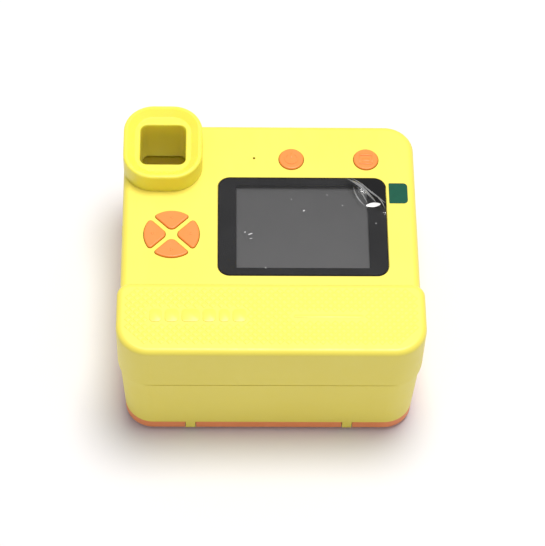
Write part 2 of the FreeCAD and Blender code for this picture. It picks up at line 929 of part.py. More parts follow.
def make_main_board():
    x0 = -half_w + board_left_margin
    x1 = half_w - board_margin
    y0 = y_crease + board_margin
    y1 = y_top - board_margin
    low = board_z0 - 1
    high = board_z1 + 1
    board = slab(x0, x1, y0, y1, 1.0, board_z0, board_z1)
    cuts = [box(x0 - 1, eye_x1 - board_tube_gap, eye_y0 + 2 * board_tube_gap, y1 + 1, low, high)]
    cuts.extend(rod(x, y, low, high, small_screw_r + head_clear) for x, y in board_screw_places())
    return board.cut(cuts)


def tact_switch(x, y):
    half = switch_w / 2
    body_z = board_z1 + switch_h - plunger_h
    body = box(x - half, x + half, y - half, y + half, board_z1, body_z)
    return fuse(body, rod(x, y, body_z - 0.2, board_z1 + switch_h, plunger_r))


def make_tact_switches():
    places = [(power_x, round_y), (mode_x, round_y)]
    places.extend(pad_stem(90 * turn) for turn in range(4))
    return Part.makeCompound([tact_switch(x, y) for x, y in places])


def screw(x, y, z_head, up, length, radius, head_r, head_h):
    """Pan-head screw whose head's seat is at z_head; up is +1 or -1 for the way its shank points."""
    z_tip = z_head + up * length
    shank = rod(x, y, min(z_head, z_tip), max(z_head, z_tip), radius)
    z_top = z_head - up * head_h
    head = rod(x, y, min(z_head, z_top), max(z_head, z_top), head_r)
    head = rounded_edges(head, 0.4, at_height(z_top))
    depth = head_h * 0.5
    z_slot = z_top + up * depth
    low = min(z_top, z_slot)
    high = max(z_top, z_slot)
    arm = head_r * 0.6
    half = driver_slot / 2
    return fuse(shank, head).cut([
        box(x - arm, x + arm, y - half, y + half, low, high),
        box(x - half, x + half, y - arm, y + arm, low, high),
    ])


def make_case_screws():
    return Part.makeCompound([
        screw(x, y, z_seam - head_seat, 1, case_screw_l, screw_r, screw_head_r, screw_head_h)
        for x, y in screw_posts
    ])


def make_board_screws():
    return Part.makeCompound([
        screw(x, y, board_z0, 1, board_screw_l, small_screw_r, small_head_r, small_head_h)
        for x, y in board_screw_places()
    ])


def frame_screw_places():
    x = frame_inner + frame_t + frame_screw_in
    low = frame_low_y + 2 * frame_screw_in
    high = frame_flange_y1() - frame_screw_in - 1
    return ((-x, low), (x, low), (-x, high), (x, high))


def make_frame_screws():
    return Part.makeCompound([
        screw(x, y, z_floor + wall, -1, frame_screw_l, screw_r, screw_head_r, frame_head_h)
        for x, y in frame_screw_places()
    ])


def port_recess():
    y0 = y_crease + port_from_crease
    z0 = board_z0 - port_flap_below
    return y0, y0 + port_flap_l, z0, z0 + port_flap_w


def port_centres():
    y0 = port_recess()[0]
    return y0 + port_flap_l * usb_at, y0 + port_flap_l * card_at


def port_openings():
    usb_y, card_y = port_centres()
    inside = -half_w + wall + port_pad + 1
    half_usb = usb_w / 2 + port_gap
    half_card = card_w / 2 + port_gap
    usb = box(-half_w, inside, usb_y - half_usb, usb_y + half_usb, board_z1, board_z1 + usb_h + port_gap)
    card = box(
        -half_w, inside, card_y - half_card, card_y + half_card,
        board_z0 - card_wall - card_h - port_gap, board_z0 - card_wall + port_gap,
    )
    return usb, card


def make_usb_port():
    usb_y = port_centres()[0]
    x0 = -half_w + port_flap_t + 0.6
    half = usb_w / 2
    shell = box(x0, x0 + usb_l, usb_y - half, usb_y + half, board_z1, board_z1 + usb_h)
    shell = shell.makeFillet(usb_h * 0.4, [e for e in shell.Edges if e.BoundBox.XLength > usb_l - 1])
    half -= usb_wall
    mouth_end = x0 + usb_l - 2 * usb_tongue
    mouth = box(
        x0 - 1, mouth_end, usb_y - half, usb_y + half, board_z1 + usb_wall, board_z1 + usb_h - usb_wall,
    )
    mouth = mouth.makeFillet(usb_h * 0.28, [e for e in mouth.Edges if e.BoundBox.XLength > usb_l / 2])
    half -= 2 * usb_wall
    middle = board_z1 + usb_h / 2
    tongue = box(
        x0 + 1, mouth_end + 0.4, usb_y - half, usb_y + half,
        middle - usb_tongue / 2, middle + usb_tongue / 2,
    )
    return fuse(shell.cut(mouth), tongue)


def make_card_socket():
    card_y = port_centres()[1]
    x0 = -half_w + wall + port_pad + 0.1
    half = card_w / 2
    top = board_z0 - card_wall
    case = box(
        x0, x0 + card_l, card_y - half - 3 * card_wall, card_y + half + 3 * card_wall,
        top - card_h - card_wall, board_z0,
    )
    return case.cut(box(x0 - 1, x0 + card_l - 1.4, card_y - half, card_y + half, top - card_h, top))


def make_port_flap():
    """Soft cover over the ports, rounded about its hinge line at the end nearest the paper door."""
    y0, y1, z0, z1 = port_recess()
    half_t = port_flap_t / 2
    axis_x = -half_w + half_t
    axis_y = y0 + port_flap_gap + half_t
    low = z0 + port_flap_gap
    high = z1 - port_flap_gap
    plate = box(-half_w, -half_w + port_flap_t, axis_y, y1 - port_flap_gap, low, high)
    return fuse(plate, rod(axis_x, axis_y, low, high, half_t))


def make_battery():
    x1 = half_w - wall - draft - battery_side_gap
    y1 = flash_y - flash_board_w / 2 - 1
    top = z_floor + battery_t
    pack = slab(x1 - battery_w, x1, y1 - battery_l, y1, battery_t / 4, z_floor, top)
    return rounded_edges(pack, battery_t * 0.15, at_height(top))


def make_speaker():
    rim = rod(speaker_x, speaker_y, z_floor, z_floor + speaker_t * 0.55, speaker_r)
    magnet = rod(speaker_x, speaker_y, z_floor, z_floor + speaker_t, speaker_r * 0.6)
    return fuse(rim, magnet).cut(rod(speaker_x, speaker_y, z_floor - 1, z_floor + 0.9, speaker_r * 0.75))


def make_microphone():
    return rod(mic_x, mic_y, board_z1, board_z1 + mic_h, mic_r)


# ---- optics --------------------------------------------------------------------------------------


def make_lens_ring():
    ring = rod(0, lens_y, 0, z_cover - 0.02, ring_r)
    ring = rounded_edges(ring, ring_edge_r, at_height(0))
    ring = fuse(ring, rod(0, lens_y, z_cover - 0.5, z_front, ring_neck_r))
    mouth = Part.makeCone(ring_bore_r + ring_ledge, ring_bore_r, ring_window_down, V(0, lens_y, 0), Z_AXIS)
    return ring.cut([
        mouth,
        rod(0, lens_y, -1, ring_window_down + lens_window_t, ring_bore_r),
        rod(0, lens_y, -1, z_front + 1, ring_bore_r - ring_ledge),
    ])


def make_lens_window():
    return rod(0, lens_y, ring_window_down, ring_window_down + lens_window_t, ring_bore_r)


def make_lens_barrel():
    tube = rod(0, lens_y, barrel_low, barrel_base_z + 0.5, barrel_r)
    tube = rounded_edges(tube, 0.5, at_height(barrel_low))
    base_z1 = barrel_base_z + barrel_base_t
    base = slab(
        -barrel_base_half, barrel_base_half, lens_y - barrel_base_half, lens_y + barrel_base_half,
        1.0, barrel_base_z, base_z1,
    )
    barrel = fuse(tube, base)
    inner = barrel_r - barrel_wall
    return barrel.cut([
        rod(0, lens_y, barrel_low - 1, base_z1 + 1, inner - lens_stop),
        rod(0, lens_y, barrel_low - 1, barrel_low + front_lens_z1, inner),
        rod(0, lens_y, barrel_low + rear_lens_z0, base_z1 + 1, inner),
    ])


def lens_element(z0, z1, rim):
    """Lens with two bulging faces: the shared part of two balls, trimmed to its rim."""
    radius = barrel_r - barrel_wall
    bulge = (z1 - z0 - rim) / 2
    ball_r = (radius ** 2 + bulge ** 2) / (2 * bulge)
    upper = Part.makeSphere(ball_r, V(0, lens_y, z1 - ball_r))
    lower = Part.makeSphere(ball_r, V(0, lens_y, z0 + ball_r))
    return upper.common(lower).common(rod(0, lens_y, z0 - 1, z1 + 1, radius))


def make_front_lens():
    z1 = barrel_low + front_lens_z1 - lens_seat_gap + (front_lens_t - front_lens_rim) / 2
    return lens_element(z1 - front_lens_t, z1, front_lens_rim)


def make_rear_lens():
    z0 = barrel_low + rear_lens_z0 + lens_seat_gap - (rear_lens_t - rear_lens_rim) / 2
    return lens_element(z0, z0 + rear_lens_t, rear_lens_rim)


def make_camera_board():
    half = camera_board_w / 2
    z0 = barrel_base_z + barrel_base_t
    return slab(-half, half, lens_y - half, lens_y + half, 1.5, z0, z0 + camera_board_t)


def make_image_sensor():
    z1 = barrel_base_z + barrel_base_t
    half = sensor_w / 2
    return box(-half, half, lens_y - half, lens_y + half, z1 - sensor_t, z1)


def make_flash_lens():
    low = z_cover + flash_down
    return rounded_edges(rod(flash_x, flash_y, low, z_front, flash_r), 0.4, at_height(low))


def make_flash_board():
    z1 = z_floor + flash_board_t
    return centred_slab(flash_x, flash_y, flash_board_w, flash_board_w, 1.0, 0, z_floor, z1)


def make_flash_led():
    half = flash_led_w / 2
    return box(
        flash_x - half, flash_x + half, flash_y - half, flash_y + half, z_floor - flash_led_t, z_floor,
    )


# ---- printer -------------------------------------------------------------------------------------


def gear_places():
    """Centres of the idler and the motor pinion; the idler is met head-on as the door swings shut."""
    swing = V(0, platen_y - hinge_y, platen_z - hinge_z)
    swing.normalize()
    away = V(0, swing.z, -swing.y)
    first = gear_module * (platen_teeth + idler_teeth) / 2
    second = gear_module * (idler_teeth + pinion_teeth) / 2
    idler = V(0, platen_y, platen_z) + away * first
    lean = math.radians(pinion_lean)
    pinion = idler + V(0, math.cos(lean), math.sin(lean)) * second
    return idler, pinion


def roll_place():
    """Centre of the paper roll: low in its cradle and clear of the motor can behind it."""
    pinion = gear_places()[1]
    z = z_floor + roll_floor_gap + roll_r
    apart = roll_r + motor_r + roll_motor_gap
    back = math.sqrt(max(apart ** 2 - (pinion.z - z) ** 2, 0))
    return V(0, min(y_low + roll_from_low, pinion.y - back), z)


def frame_back_y():
    return gear_places()[1].y + motor_r + 1


def frame_flange_y1():
    return y_crease + 2 * motor_clear + motor_r


def printer_side_plate():
    """Right-hand cheek of the printer with its fixing flange."""
    pinion = gear_places()[1]
    roll = roll_place()
    x1 = frame_inner + frame_t
    back = frame_back_y()
    wall_back = spring_wall_y + back_wall_t
    shoulder = z_ceiling - frame_top_gap
    outline = (
        (frame_low_y, z_floor), (back, z_floor), (back, pinion.z + motor_r + 1),
        (wall_back, platen_z - 6), (wall_back, shoulder), (platen_y - arm_r - 0.2, shoulder),
        (platen_y - 6, roll.z), (frame_low_y, roll.z - 4),
    )
    plate = side_plate(outline, frame_inner, x1)
    flange = box(x1 - 0.5, x1 + frame_flange_w, frame_low_y, frame_flange_y1(), z_floor, z_floor + wall)
    return fuse(plate, flange)


def shaft_lane(reach, radius):
    """The path the platen shaft takes out of the frame as the door opens."""
    lean = math.atan2(platen_z - hinge_z, platen_y - hinge_y)
    lane = Part.makeBox(2 * reach, 2 * radius, 2 * platen_below_rear, V(-reach, -radius, 0))
    lane.rotate(V(0, 0, 0), X_AXIS, math.degrees(lean))
    lane.translate(V(0, platen_y, platen_z))
    return lane


def make_printer_frame():
    idler, pinion = gear_places()
    roll = roll_place()
    x1 = frame_inner + frame_t
    overlap_x = frame_inner + 0.5
    base_top = z_floor + wall
    plate = printer_side_plate()
    base = box(-overlap_x, overlap_x, frame_low_y, frame_back_y(), z_floor, base_top)
    outer_r = roll_r + cradle_wall
    cradle = cross_rod(-frame_inner, frame_inner, roll.y, roll.z, outer_r)
    cradle = cradle.common(box(
        -frame_inner, frame_inner, roll.y - outer_r, roll.y + outer_r, z_floor, roll.z - roll_r / 2,
    ))
    back_wall = box(
        -overlap_x, overlap_x, spring_wall_y, spring_wall_y + back_wall_t,
        pinion.z + motor_r + motor_clear, platen_z + 1.5,
    )
    axle = cross_rod(x1 - 0.5, gear_x + gear_t + motor_clear, idler.y, idler.z, idler_axle_r)
    frame = fuse(plate, mirrored_x(plate), base, cradle, back_wall, axle)
    reach = x1 + frame_flange_w + 1
    notch_r = platen_shaft_r + notch_clear
    cradle_half = frame_inner - motor_clear
    cuts = [
        cross_rod(-reach, reach, platen_y, platen_z, notch_r),
        shaft_lane(reach, notch_r),
        cross_rod(-cradle_half, cradle_half, roll.y, roll.z, roll_r + cradle_gap),
        cross_rod(frame_inner - 1, x1 + 1, pinion.y, pinion.z, motor_boss_r + screw_clear),
    ]
    for x, y in frame_screw_places():
        cuts.append(rod(x, y, z_floor - 1, base_top + 1, screw_r + screw_clear / 2))
    return frame.cut(cuts)


def make_print_head():
    half = paper_w / 2
    return box(-half, half, head_y, head_y + head_t, platen_z - head_below, platen_z + head_above)


def make_head_sink():
    half = paper_w / 2
    y0 = head_y + head_t
    low = platen_z - head_below - 1
    plate = box(-half, half, y0, y0 + sink_t, low, platen_z + head_above + 0.2)
    foot = box(-half, half, y0, y0 + sink_t + 2, low, low + 1)
    return fuse(plate, foot)


def make_head_springs():
    """Two bent leaf springs between the heat sink and the frame's back wall."""
    y0 = head_y + head_t + sink_t
    y1 = spring_wall_y
    crown = platen_z - 0.4
    low = platen_z - 3.2
    high = platen_z + head_above
    outline = (
        (y0, low), (y0 + spring_t, low), (y1, crown), (y0 + spring_t, high), (y0, high),
        (y1 - spring_t, crown),
    )
    return Part.makeCompound(both_sides(side_plate(outline, spring_x, spring_x + spring_w)))


def make_tear_bar():
    half = slot_w / 2 - screw_clear
    low = platen_z + head_above + screw_clear
    root = z_rear - tear_bar_below
    tip = root + tear_tooth_h
    count = int(2 * half / tear_tooth)
    pitch = 2 * half / count
    points = [V(-half, tear_bar_y, low), V(half, tear_bar_y, low)]
    for index in range(count, 0, -1):
        x = -half + pitch * index
        points.append(V(x, tear_bar_y, root))
        points.append(V(x - pitch / 2, tear_bar_y, tip))
    points.append(V(-half, tear_bar_y, root))
    points.append(points[0])
    return Part.Face(Part.makePolygon(points)).extrude(V(0, tear_bar_t, 0))


def make_platen_shaft():
    x0 = -frame_inner - frame_t - 2 * shaft_end
    return cross_rod(x0, gear_x + gear_t + shaft_end, platen_y, platen_z, platen_shaft_r)


def make_platen_roller():
    half = platen_w / 2
    bore = cross_rod(-half - 1, half + 1, platen_y, platen_z, platen_shaft_r)
    return cross_rod(-half, half, platen_y, platen_z, platen_r).cut(bore)


def make_platen_bushes():
    x0 = platen_w / 2 + bush_gap
    x1 = platen_w / 2 + arm_gap + arm_t + bush_gap
    bore = cross_rod(x0 - 1, x1 + 1, platen_y, platen_z, platen_shaft_r + run_clear)
    return Part.makeCompound(both_sides(cross_rod(x0, x1, platen_y, platen_z, bush_r).cut(bore)))


def gear_phases():
    """Turns the three gears so that a tooth of one meets a gap of the next on each line of centres."""
    idler, pinion = gear_places()
    down = math.degrees(math.atan2(idler.z - platen_z, idler.y - platen_y))
    idler_phase = down + 180 + 180 / idler_teeth
    along = math.degrees(math.atan2(pinion.z - idler.z, pinion.y - idler.y))
    offset = (along - idler_phase) * idler_teeth / 360
    slip = offset - math.floor(offset)
    pinion_phase = along + 180 + (slip - 0.5) * 360 / pinion_teeth
    return down, idler_phase, pinion_phase


def make_gears():
    idler, pinion = gear_places()
    platen_phase, idler_phase, pinion_phase = gear_phases()
    nodes["platen_gear"] = gear(platen_teeth, platen_y, platen_z, gear_x, platen_phase, platen_shaft_r)
    bore_r = idler_axle_r + run_clear
    nodes["idler_gear"] = gear(idler_teeth, idler.y, idler.z, gear_x, idler_phase, bore_r)
    nodes["motor_pinion"] = gear(pinion_teeth, pinion.y, pinion.z, gear_x, pinion_phase, motor_shaft_r)


def make_motor():
    pinion = gear_places()[1]
    x0 = frame_inner - motor_l
    can = cross_rod(x0, frame_inner, pinion.y, pinion.z, motor_r)
    boss = cross_rod(frame_inner - 0.5, frame_inner + motor_boss_h, pinion.y, pinion.z, motor_boss_r)
    bore = cross_rod(x0 + motor_end_t, gear_x, pinion.y, pinion.z, motor_shaft_r + run_clear)
    return fuse(can, boss).cut(bore)


def make_motor_shaft():
    pinion = gear_places()[1]
    x0 = frame_inner - motor_l + motor_end_t + 1
    return cross_rod(x0, gear_x + gear_t + shaft_end, pinion.y, pinion.z, motor_shaft_r)


def make_paper():
    half = paper_w / 2
    place = roll_place()
    roll = cross_rod(-half, half, place.y, place.z, roll_r)
    nodes["paper_roll"] = roll.cut(cross_rod(-half - 1, half + 1, place.y, place.z, core_r))
    core = cross_rod(-half, half, place.y, place.z, core_r)
    hole = cross_rod(-half - 1, half + 1, place.y, place.z, core_r - core_wall)
    nodes["paper_core"] = core.cut(hole)


# ---- build and write -----------------------------------------------------------------------------

nodes["front_cover"] = make_front_cover()
nodes["front_shell"] = make_front_shell()
nodes["rear_shell"] = make_rear_shell()
nodes["eyepiece"] = make_eyepiece()
nodes["viewfinder_tube"] = make_viewfinder_tube()
nodes["eyepiece_window"] = make_eyepiece_window()
nodes["front_window"] = make_front_window()
nodes["paper_door"] = make_paper_door()
nodes["door_hinge_pin"] = make_door_hinge_pin()
nodes["screen_glass"] = make_screen_glass()
nodes["lcd_module"] = make_lcd_module()
nodes["screen_film"] = make_screen_film()
nodes["film_tab"] = make_film_tab()
nodes["power_button"] = make_round_button(power_x)
nodes["mode_button"] = make_round_button(mode_x)
for turn, name in enumerate(("right_button", "up_button", "left_button", "down_button")):
    nodes[name] = make_pad_button(90 * turn)
nodes["shutter_button"] = make_shutter_button()
nodes["shutter_switch"], nodes["shutter_board"] = make_shutter_switch()
nodes["main_board"] = make_main_board()
nodes["tact_switches"] = make_tact_switches()
nodes["microphone"] = make_microphone()
nodes["case_screws"] = make_case_screws()
nodes["board_screws"] = make_board_screws()
nodes["frame_screws"] = make_frame_screws()
nodes["usb_port"] = make_usb_port()
nodes["card_socket"] = make_card_socket()
nodes["port_flap"] = make_port_flap()
nodes["battery"] = make_battery()
nodes["speaker"] = make_speaker()
nodes["lens_ring"] = make_lens_ring()
nodes["lens_window"] = make_lens_window()
nodes["lens_barrel"] = make_lens_barrel()
nodes["front_lens"] = make_front_lens()
nodes["rear_lens"] = make_rear_lens()
nodes["camera_board"] = make_camera_board()
nodes["image_sensor"] = make_image_sensor()
nodes["flash_lens"] = make_flash_lens()
nodes["flash_board"] = make_flash_board()
nodes["flash_led"] = make_flash_led()
nodes["printer_frame"] = make_printer_frame()
nodes["print_head"] = make_print_head()
nodes["head_sink"] = make_head_sink()
nodes["head_springs"] = make_head_springs()
nodes["tear_bar"] = make_tear_bar()
nodes["platen_shaft"] = make_platen_shaft()
nodes["platen_roller"] = make_platen_roller()
nodes["platen_bushes"] = make_platen_bushes()
make_gears()
nodes["printer_motor"] = make_motor()
nodes["motor_shaft"] = make_motor_shaft()
make_paper()
nodes["strap_bar"] = strap_rod()

os.makedirs("parts", exist_ok=True)
for name, shape in nodes.items():
    shape.exportStep("parts/" + name + ".step")
    print(name, len(shape.Solids), shape.isValid(), round(shape.Volume, 1))
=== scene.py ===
"""Children's instant-print camera, lying lens-down on a pale table.

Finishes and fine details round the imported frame. Everything is in metres, in the row frame: +Z out of
the rear face, +Y towards the top side, +X to the right.
"""

import math

import bmesh
import bpy
from mathutils import Matrix, Vector


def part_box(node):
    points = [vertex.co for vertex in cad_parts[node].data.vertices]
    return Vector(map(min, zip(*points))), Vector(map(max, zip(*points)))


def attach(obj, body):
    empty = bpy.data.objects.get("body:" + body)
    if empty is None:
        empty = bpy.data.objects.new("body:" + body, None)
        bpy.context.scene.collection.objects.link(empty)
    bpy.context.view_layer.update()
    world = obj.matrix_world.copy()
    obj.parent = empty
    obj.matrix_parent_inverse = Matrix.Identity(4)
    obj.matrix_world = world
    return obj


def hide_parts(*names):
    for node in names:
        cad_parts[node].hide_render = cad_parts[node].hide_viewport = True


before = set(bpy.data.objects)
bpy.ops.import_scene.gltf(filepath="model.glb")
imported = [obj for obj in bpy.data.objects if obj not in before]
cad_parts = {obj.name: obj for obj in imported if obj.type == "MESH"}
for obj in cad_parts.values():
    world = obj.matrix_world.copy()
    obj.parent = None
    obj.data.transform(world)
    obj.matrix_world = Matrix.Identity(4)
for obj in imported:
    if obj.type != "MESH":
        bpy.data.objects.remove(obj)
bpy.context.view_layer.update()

MM = 0.001

# ---- places read from the frame --------------------------------------------------------------------

door_low, door_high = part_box("paper_door")
glass_low, glass_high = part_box("screen_glass")
lcd_low, lcd_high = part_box("lcd_module")
flap_low, flap_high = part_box("port_flap")
ring_low, ring_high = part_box("lens_ring")
roll_low, roll_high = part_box("paper_roll")
battery_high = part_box("battery")[1]

REAR_Z = glass_high.z
DOOR_Z = door_high.z

# ---- sizes of the details, metres ------------------------------------------------------------------

SMOOTH_ANGLE = math.radians(35)

# door: grip diamonds, raised mark and line
DIAMOND_PITCH = 3.05 * MM
DIAMOND_FILL = 0.96
DIAMOND_RISE = 0.16 * MM
DIAMOND_SINK = 0.06 * MM
DIAMOND_BORDER = 2.2 * MM
DIAMOND_FLAT = 0.62
DIAMOND_EDGE = 0.12 * MM
FIELD_FRONT_R = 9.0 * MM
FIELD_BACK_R = 3.0 * MM
MARK_WIDTHS = (4.4, 4.9, 6.4, 4.7, 3.8, 4.9)
MARK_GAP = 1.1 * MM
MARK_SPAN = 35.0 * MM
MARK_TALL = 5.4 * MM
MARK_FROM_LEFT = 12.0 * MM
MARK_FROM_CREASE = 11.5 * MM
MARK_RISE = 0.22 * MM
MARK_CORNER_R = 1.5 * MM
MARK_EDGE = 0.12 * MM
MARK_MARGIN = DIAMOND_PITCH * 0.30
LINE_LONG = 25.0 * MM
LINE_WIDE = 1.3 * MM
LINE_RISE = MARK_RISE * 0.7
LINE_CORNER_R = 0.6 * MM
LINE_EDGE = 0.08 * MM
LINE_FROM_RIGHT = 23.0 * MM
LINE_FROM_CREASE = 14.4 * MM

# screen: printed border of the glass, frame of the display, painted shadow along the display's upper
# edge
WINDOW_INSET = Vector((2.6, 1.9)) * MM
WINDOW_SOFT = 0.1 * MM
DISPLAY_SIDE = 3.0 * MM
DISPLAY_LOWER = 2.2 * MM
DISPLAY_UPPER = 0.3 * MM
DISPLAY_SOFT = 0.05 * MM
PAINTED_SHADOW_FROM_TOP = 2.9 * MM
PAINTED_SHADOW_SOFT = 0.15 * MM

# protective film, its folds with their painted highlights, and the dust under it
FILM_CELL = 0.75 * MM
FILM_INSET = 0.35 * MM
FILM_GAP = 0.05 * MM
FILM_LIFT = 1.5 * MM
FILM_CORNER_R = 4.2 * MM
FILM_WELD = 0.02 * MM
CREASE_FROM_RIGHT = 13.6 * MM
CREASE_FROM_TOP = 14.6 * MM
CURL_REACH = 5.2 * MM
RIPPLE_RISE = 0.3 * MM
RIPPLE_STEP = 0.62 * MM
FOLD_GAP = 0.12 * MM
# the folds are raised, and their milky white colour is painted highlight along the crease
# three plan points from the glass's upper right corner, width, crest: all millimetres
FOLDS = (
    (((-12.9, -0.6), (-6.2, -5.6), (-0.5, -12.4)), 0.55, 0.25),
    (((-14.4, -0.7), (-8.2, -4.4), (-4.0, -11.4)), 1.0, 0.4),
    (((-12.2, -4.4), (-11.4, -9.2), (-8.2, -12.4)), 0.5, 0.2),
    (((-10.6, -4.6), (-8.6, -7.6), (-7.0, -11.8)), 0.4, 0.2),
    (((-5.2, -6.8), (-2.2, -10.0), (-0.6, -14.6)), 0.4, 0.2),
)
# a flat white strip painted where a glint falls on the fold
PAINTED_GLINT_FOLD = (((-7.6, -12.6), (-5.0, -12.3), (-2.3, -12.6)), 1.9, 0.1)
# place from the glass's centre, width, length: millimetres; then the turn in radians
SPECKS = (
    (-19.6, -3.6, 1.9, 0.5, 0.35), (-21.6, -2.8, 0.7, 0.4, 0.9), (-19.4, -5.6, 1.3, 0.22, 0.1),
    (0.6, 7.0, 0.9, 0.5, 0.5), (-4.0, 12.2, 0.5, 0.3, 2.2), (15.2, 9.4, 0.6, 0.3, -0.6),
    (-14.0, -18.6, 0.5, 0.4, 0.2), (27.6, 1.4, 0.5, 0.3, 1.0), (9.5, 14.2, 0.45, 0.3, 0.4),
)
SPECK_TALL = 0.05 * MM
SPECK_GAP = 0.03 * MM

# icons and pips on the buttons
ICON_RISE = 0.16 * MM
ICON_LINE = 0.48 * MM
POWER_RING_R = 2.35 * MM
POWER_SWEEP = math.radians(290)
POWER_BAR_LONG = 2.6 * MM
POWER_BAR_UP = 1.5 * MM
POWER_BAR_EDGE = 0.04 * MM
# offset from the cap's centre, width, length: millimetres; then the rise as a share of ICON_RISE
MODE_BARS = (
    (0, 2.0, 5.0, 0.75, 1.6), (0, -2.0, 5.0, 0.75, 1.6),
    (-2.35, 0, 0.4, 3.4, 1.0), (2.35, 0, 0.4, 3.4, 1.0),
    (0, -0.3, 3.0, 1.5, 0.7),
)
MODE_CORNER_R = 0.2 * MM
MODE_EDGE = 0.05 * MM
PIP_REACH = 7.2 * MM
PIP_FOOT_R = 0.85 * MM
PIP_TOP_R = 0.6 * MM
PIP_EDGE = 0.1 * MM

# ribs on the port flap, rings in the lens window
RIB_COUNT = 3
RIB_FROM_END = 2.4 * MM
RIB_PITCH = 1.5 * MM
RIB_SIZE = Vector((0.5, 0.6, 5.4)) * MM
RIB_EDGE = 0.2 * MM
TRIM_RINGS = ((11.2 * MM, 0.5 * MM), (8.3 * MM, 0.3 * MM))
TRIM_TALL = 0.12 * MM
TRIM_GAP = 0.05 * MM


# ---- mesh helpers ----------------------------------------------------------------------------------


def piece(name, bm, body, material, smooth=True):
    """Turns a bmesh into a piece that rides on a CAD body."""
    bmesh.ops.recalc_face_normals(bm, faces=bm.faces)
    mesh = bpy.data.meshes.new(name)
    bm.to_mesh(mesh)
    bm.free()
    obj = bpy.data.objects.new(name, mesh)
    bpy.context.scene.collection.objects.link(obj)
    mesh.materials.append(material)
    if smooth:
        mesh.shade_smooth()
        mesh.set_sharp_from_angle(angle=SMOOTH_ANGLE)
    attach(obj, body)
    return obj


def bevelled(bm, edges, width, segments=2):
    bmesh.ops.bevel(
        bm, geom=edges, offset=width, offset_type="OFFSET", segments=segments, profile=0.5,
        affect="EDGES", material=-1, clamp_overlap=True,
    )


def pill(bm, x, y, z0, z1, width, length, radius, edge, turn=0.0):
    """Low raised pad with rounded plan corners and a softened upper edge."""
    made = bmesh.ops.create_cube(bm, size=1.0)["verts"]
    height = z1 - z0
    bmesh.ops.scale(bm, vec=(width, length, height), verts=made)
    upright = {
        e for v in made for e in v.link_edges
        if abs(e.verts[0].co.z - e.verts[1].co.z) > height / 2
    }
    limit = min(radius, width * 0.499, length * 0.499)
    rounded = bmesh.ops.bevel(
        bm, geom=list(upright), offset=limit, offset_type="OFFSET", segments=6, profile=0.5,
        affect="EDGES", material=-1,
    )
    faces = {f for v in made if v.is_valid for f in v.link_faces} | set(rounded["faces"])
    verts = {v for f in faces for v in f.verts}
    verts |= {v for w in list(verts) for e in w.link_edges for v in e.verts}
    top = [
        e for e in {e for v in verts for e in v.link_edges}
        if e.verts[0].co.z > height / 2 - 1e-7 and e.verts[1].co.z > height / 2 - 1e-7
        and any(abs(f.normal.z) < 0.5 for f in e.link_faces)
    ]
    bevelled(bm, top, edge)
    every = connected(verts)
    bmesh.ops.rotate(bm, cent=(0, 0, 0), matrix=Matrix.Rotation(turn, 3, "Z"), verts=every)
    bmesh.ops.translate(bm, vec=(x, y, (z0 + z1) / 2), verts=every)


def connected(seeds):
    """Every vertex joined to the seeds by edges."""
    found = {v for v in seeds if v.is_valid}
    front = list(found)
    while front:
        fresh = {v for w in front for e in w.link_edges for v in e.verts} - found
        found |= fresh
        front = list(fresh)
    return list(found)


# ---- material helpers ------------------------------------------------------------------------------


